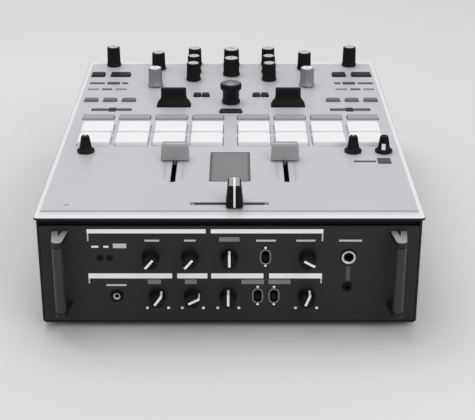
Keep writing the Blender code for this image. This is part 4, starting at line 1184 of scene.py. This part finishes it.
FOLD_RADIUS = 0.003
FOOT_SCREW = 0.0034
FOOT_SCREW_HEIGHT = 0.0026
WALL_SCREW_INSET = 0.030
WALL_SCREW_RISE = 0.012
WALL_SCREW_DROP = 0.010
PANEL_SCREW_INSET = 0.008
SOCKET_FLANGE = (0.026, 0.030)
FLANGE_SCREW = 0.0017
FLANGE_SCREW_PLACE = (0.0095, -0.0120)
PIN_CIRCLE = 0.0042
INLET_PINS = ((-0.0070, -0.0020), (0.0, 0.0020), (0.0070, -0.0020))

# Rear socket sizes that differ by less than this count as equal
SAME_SIZE = 0.001

# A rear socket wider than this many times its height is the power inlet
INLET_SHARE = 1.2


def screw(shape, place, radius=0.0026):
    """A round-headed screw with a hexagon socket."""
    head = ((1.0, -0.0005), (1.0, 0.0004), (0.85, 0.0010), (0.62, 0.0012))
    rings = [circle(radius * share, z) for share, z in head]
    rings += [hexagon(radius * 0.42, z) for z in (0.0012, 0.0002)]
    loft(shape, rings, 0, place)


def make_pan():
    """Floor and side walls as one folded sheet."""
    profile = []
    for radius, inset, signs in ((FOLD_RADIUS, 0.0, (-1, 1)), (FOLD_RADIUS - SHEET, SHEET, (1, -1))):
        reach = PAN_HIGH.x - inset
        foot = FOOT_HEIGHT + inset
        for sign in signs:
            wall = [(sign * reach, PAN_HIGH.z)]
            for step in range(CORNER_STEPS + 1):
                angle = math.pi / 2 * step / CORNER_STEPS
                x = reach - radius + radius * math.cos(angle)
                wall.append((sign * x, foot + radius - radius * math.sin(angle)))
            profile.extend(wall if sign == signs[0] else reversed(wall))
    shape = bmesh.new()
    loft(shape, [[(x, z, -y) for x, z in profile] for y in (REAR_Y, FACE_Y)], 0, turn(90, "X"))
    fix("case_pan", shape, [BLACK_PAINT_AND_SHADE], ["bottom_pan"])


def make_feet():
    """Rubber feet with a screw in each, and the screws along the side walls."""
    foot = (
        (FOOT_RADIUS + 0.0012, 0.0),
        (FOOT_RADIUS + 0.0006, 0.0020),
        (FOOT_RADIUS, FOOT_HEIGHT - 0.0004),
        (FOOT_RADIUS - 0.0004, FOOT_HEIGHT),
        (FOOT_RADIUS - 0.0040, FOOT_HEIGHT),
        (FOOT_RADIUS - 0.0046, FOOT_HEIGHT - 0.0006),
        (FOOT_RADIUS - 0.0050, FOOT_HEIGHT - 0.0022),
    )
    feet = bmesh.new()
    screws = bmesh.new()
    for x in (PAN_LOW.x + FOOT_INSET, PAN_HIGH.x - FOOT_INSET):
        for y in (FACE_Y + FOOT_INSET, REAR_Y - FOOT_INSET):
            turned(feet, foot, at(x, y, FOOT_HEIGHT) @ turn(180, "X"))
            screw(screws, at(x, y, FOOT_SCREW_HEIGHT) @ turn(180, "X"), FOOT_SCREW)
    for sign in (-1, 1):
        for y in (FACE_Y + WALL_SCREW_INSET, (FACE_Y + REAR_Y) / 2, REAR_Y - WALL_SCREW_INSET):
            for z in (FOOT_HEIGHT + WALL_SCREW_RISE, PAN_HIGH.z - WALL_SCREW_DROP):
                screw(screws, at(sign * PAN_HIGH.x, y, z) @ turn(sign * 90, "Y"))
    fix("rubber_feet", feet, [RUBBER])
    fix("case_screws", screws, [BLACK_PAINT_AND_SHADE])


def rear_faces(reach):
    """(centre, size) of the rear panel's separate flat faces at a reach behind its sheet."""
    faces = flat_islands("rear_panel", 1, REAR_Y + reach)
    return [((low + high) / 2, high - low) for low, high in faces]


def on_rear(x, z):
    """A place on the rear panel."""
    return ON_REAR @ at(-x, z, 0)


def make_rear_panel():
    """The rear sheet with its sockets, posts and screws."""
    low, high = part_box("rear_panel")
    sockets = rear_faces(-SOCKET_DEPTH)
    round_size = max(size.x for _, size in sockets if abs(size.x - size.z) < SAME_SIZE)
    holes = []
    metal = bmesh.new()
    plastic = bmesh.new()
    for spot, size in sockets:
        place = on_rear(spot.x, spot.z)
        if abs(size.x - round_size) < SAME_SIZE:
            holes.append(round_hole(size.x / 2 + SOCKET_WALL, -spot.x, spot.z))
            balanced_socket(plastic, metal, place, size.x / 2)
            continue
        wall = 2 * SOCKET_WALL
        holes.append(centred(size.x + wall, size.z + wall, 0.0012, 0, -spot.x, spot.z))
        make_socket = power_inlet if size.x > size.z * INLET_SHARE else data_socket
        make_socket(plastic, metal, place, size.x, size.z)
    sheet = cut_sheet(((low.x, low.z), (high.x, high.z)), holes, PANEL_SHEET)
    fix("rear_panel_sheet", sheet, [BLACK_PAINT_AND_SHADE], ["rear_panel"], ON_REAR, SHEET_SMOOTH)
    bar(plastic, (low.x, low.z), (high.x, low.z + PANEL_SHEET), -PANEL_FLANGE, -PANEL_SHEET, EDGE, 0, ON_REAR)
    for sign in (-1, 1):
        for z in (low.z + PANEL_SCREW_INSET, high.z - PANEL_SCREW_INSET):
            screw(plastic, on_rear(sign * (high.x - PANEL_SCREW_INSET), z))
    phonos = [spot for spot, _ in rear_faces(PHONO_REACH)]
    split = sum(spot.z for spot in phonos) / len(phonos)
    for spot in phonos:
        phono_socket(metal, on_rear(spot.x, spot.z), 3 if spot.z < split else 4)
    for spot, _ in rear_faces(GROUND_REACH):
        ground_post(metal, on_rear(spot.x, spot.z))
    fix("rear_shells", plastic, [SOCKET_BLACK_AND_SHADE])
    fix("rear_contacts", metal, [CHROME, GOLD, SOCKET_BLACK_AND_SHADE, PHONO_RED, PHONO_WHITE])


def balanced_socket(plastic, metal, place, bore):
    """A round socket with a square flange, a deep well and its pins."""
    steps = ((0.0, -0.0003), (0.0, 0.0012), (0.0004, 0.0016))
    loft(plastic, stepped(*SOCKET_FLANGE, 0.002, steps), 0, place)
    shell = (
        (bore + SOCKET_WALL, -SOCKET_DEPTH - 0.002),
        (bore + SOCKET_WALL, 0.0020),
        (bore + 0.0016, 0.0026),
        (bore + 0.0004, 0.0026),
        (bore, 0.0020),
        (bore, -SOCKET_DEPTH),
    )
    turned(plastic, shell, place)
    pin = ((0.0012, -SOCKET_DEPTH - 0.001), (0.0012, -0.0022), (0.0009, -0.0016), (0.0004, -0.0013))
    for degrees in (90, 210, 330):
        angle = math.radians(degrees)
        spot = at(PIN_CIRCLE * math.cos(angle), PIN_CIRCLE * math.sin(angle), 0)
        turned(metal, pin, place @ spot, points=16)
    for sign in (-1, 1):
        x, y = FLANGE_SCREW_PLACE
        screw(metal, place @ at(sign * x, sign * y, 0.0014), FLANGE_SCREW)


def data_socket(plastic, metal, place, width, height):
    """A square data socket with a bright shell and a dark tongue."""
    grow = SOCKET_WALL
    shell = [centred(width + grow, height + grow, 0.0008, z) for z in (-SOCKET_DEPTH - 0.002, 0.0006)]
    shell += [centred(width, height, 0.0006, z) for z in (0.0006, -SOCKET_DEPTH)]
    loft(metal, shell, 0, place)
    bar(plastic, (-0.0026, -0.0016), (0.0026, 0.0016), -SOCKET_DEPTH - 0.001, -0.0016, 0.0003, 0, place)


def power_inlet(plastic, metal, place, width, height):
    """A mains inlet: a deep well with a broad bezel and three flat pins."""
    grow = 0.0040
    well = [centred(width + grow, height + grow, 0.0024, z) for z in (-SOCKET_DEPTH - 0.002, 0.0012)]
    well += [centred(width + grow - 0.0008, height + grow - 0.0008, 0.0022, 0.0018)]
    well += [centred(width, height, 0.0018, z) for z in (0.0018, -SOCKET_DEPTH)]
    loft(plastic, well, 0, place)
    for x, y in INLET_PINS:
        pin = [centred(0.0020, 0.0040, 0.0004, z, x, y) for z in (-SOCKET_DEPTH - 0.001, -0.0020)]
        loft(metal, pin, 0, place)


def phono_socket(metal, place, insulator):
    """A gilt phono socket: flange, ringed barrel, coloured insulator and a dark bore."""
    sections = (
        (0.0056, -0.0004),
        (0.0056, 0.0008),
        (0.0050, 0.0012),
        (0.0041, 0.0014),
        (0.0041, 0.0036),
        (0.0038, 0.0039),
        (0.0041, 0.0042),
        (0.0041, PHONO_REACH - 0.0004),
        (0.0038, PHONO_REACH),
        (0.0033, PHONO_REACH, 0, insulator),
        (0.0031, PHONO_REACH - 0.0004, 0, insulator),
        (0.0017, PHONO_REACH - 0.0004, 0, 2),
        (0.0016, 0.0010, 0, 2),
    )
    turned(metal, sections, place, 32, band=1)


def ground_post(metal, place):
    """A knurled earth terminal on its stud."""
    sections = (
        (0.0028, -0.0004),
        (0.0028, 0.0012),
        (0.0036, 0.0014, FLUTE),
        (0.0040, 0.0018, FLUTE),
        (0.0040, 0.0052, FLUTE),
        (0.0034, 0.0056),
        (0.0018, 0.0057),
        (0.0018, GROUND_REACH),
    )
    turned(metal, sections, place, points=GRIP_POINTS)


def dress_boards():
    """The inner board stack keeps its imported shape."""
    frame["nodes"]["board_stack"].material_slots[0].material = BOARD


make_top_plate()
make_plate_prints()
make_slot_wells()
make_window()
make_pads()
make_keys()
make_knobs()
make_faders()
make_paddles()
make_front_panel()
make_front_prints()
make_front_jacks()
make_switches()
make_handles()
make_pan()
make_feet()
make_rear_panel()
dress_boards()


# Stage: floor, light and camera

CAMERA_SIDE = 0.0064
CAMERA_DISTANCE = 0.8601
CAMERA_RISE = 0.3902
CAMERA_PITCH = 65.97
PHOTO_LENS = 28.0
ZOOM = 3.3
SENSOR_WIDTH = 36.0
SKY_STRENGTH = 0.62
FLOOR_SIZE = 12.0
FLOOR_COLOUR = (0.72, 0.72, 0.725)


def make_floor():
    """A plain pale floor under the mixer."""
    shape = bmesh.new()
    bmesh.ops.create_grid(shape, x_segments=1, y_segments=1, size=FLOOR_SIZE / 2)
    paper = surface("studio_floor", FLOOR_COLOUR, (0.75, 0.85), 0.01, 2, 300, 0.00001)
    floor = bpy.data.objects.new("studio_floor", mesh_of("studio_floor", shape, [paper]))
    bpy.context.scene.collection.objects.link(floor)


def add_softbox(name, place, aim, size, power):
    """A square area light that points at a spot."""
    lamp = bpy.data.lights.new(name, "AREA")
    lamp.size = size
    lamp.energy = power
    holder = bpy.data.objects.new(name, lamp)
    holder.location = place
    holder.rotation_euler = (Vector(aim) - Vector(place)).to_track_quat("-Z", "Y").to_euler()
    bpy.context.scene.collection.objects.link(holder)


def make_light():
    """A pale surrounding and two large softboxes."""
    world = bpy.data.worlds.new("studio")
    world.use_nodes = True
    sky = world.node_tree.nodes["Background"]
    sky.inputs["Color"].default_value = (1.0, 1.0, 1.0, 1.0)
    sky.inputs["Strength"].default_value = SKY_STRENGTH
    bpy.context.scene.world = world
    add_softbox("overhead_softbox", place=(-0.25, 0.35, 1.6), aim=(0, 0, 0.09), size=1.3, power=11.0)
    add_softbox("front_softbox", place=(0.9, -1.4, 1.2), aim=(0, 0, 0.06), size=1.0, power=8.0)


def make_camera():
    """The photograph's view point and direction, through a longer lens."""
    lens = bpy.data.cameras.new("studio_camera")
    lens.lens = PHOTO_LENS * ZOOM
    lens.sensor_width = SENSOR_WIDTH
    camera = bpy.data.objects.new("studio_camera", lens)
    camera.location = (CAMERA_SIDE, FRONT_EDGE - CAMERA_DISTANCE, PLATE_TOP + CAMERA_RISE)
    camera.rotation_euler = (math.radians(CAMERA_PITCH), 0, 0)
    bpy.context.scene.collection.objects.link(camera)
    bpy.context.scene.camera = camera


make_floor()
make_light()
make_camera()
bpy.context.scene.view_settings.view_transform = "Standard"
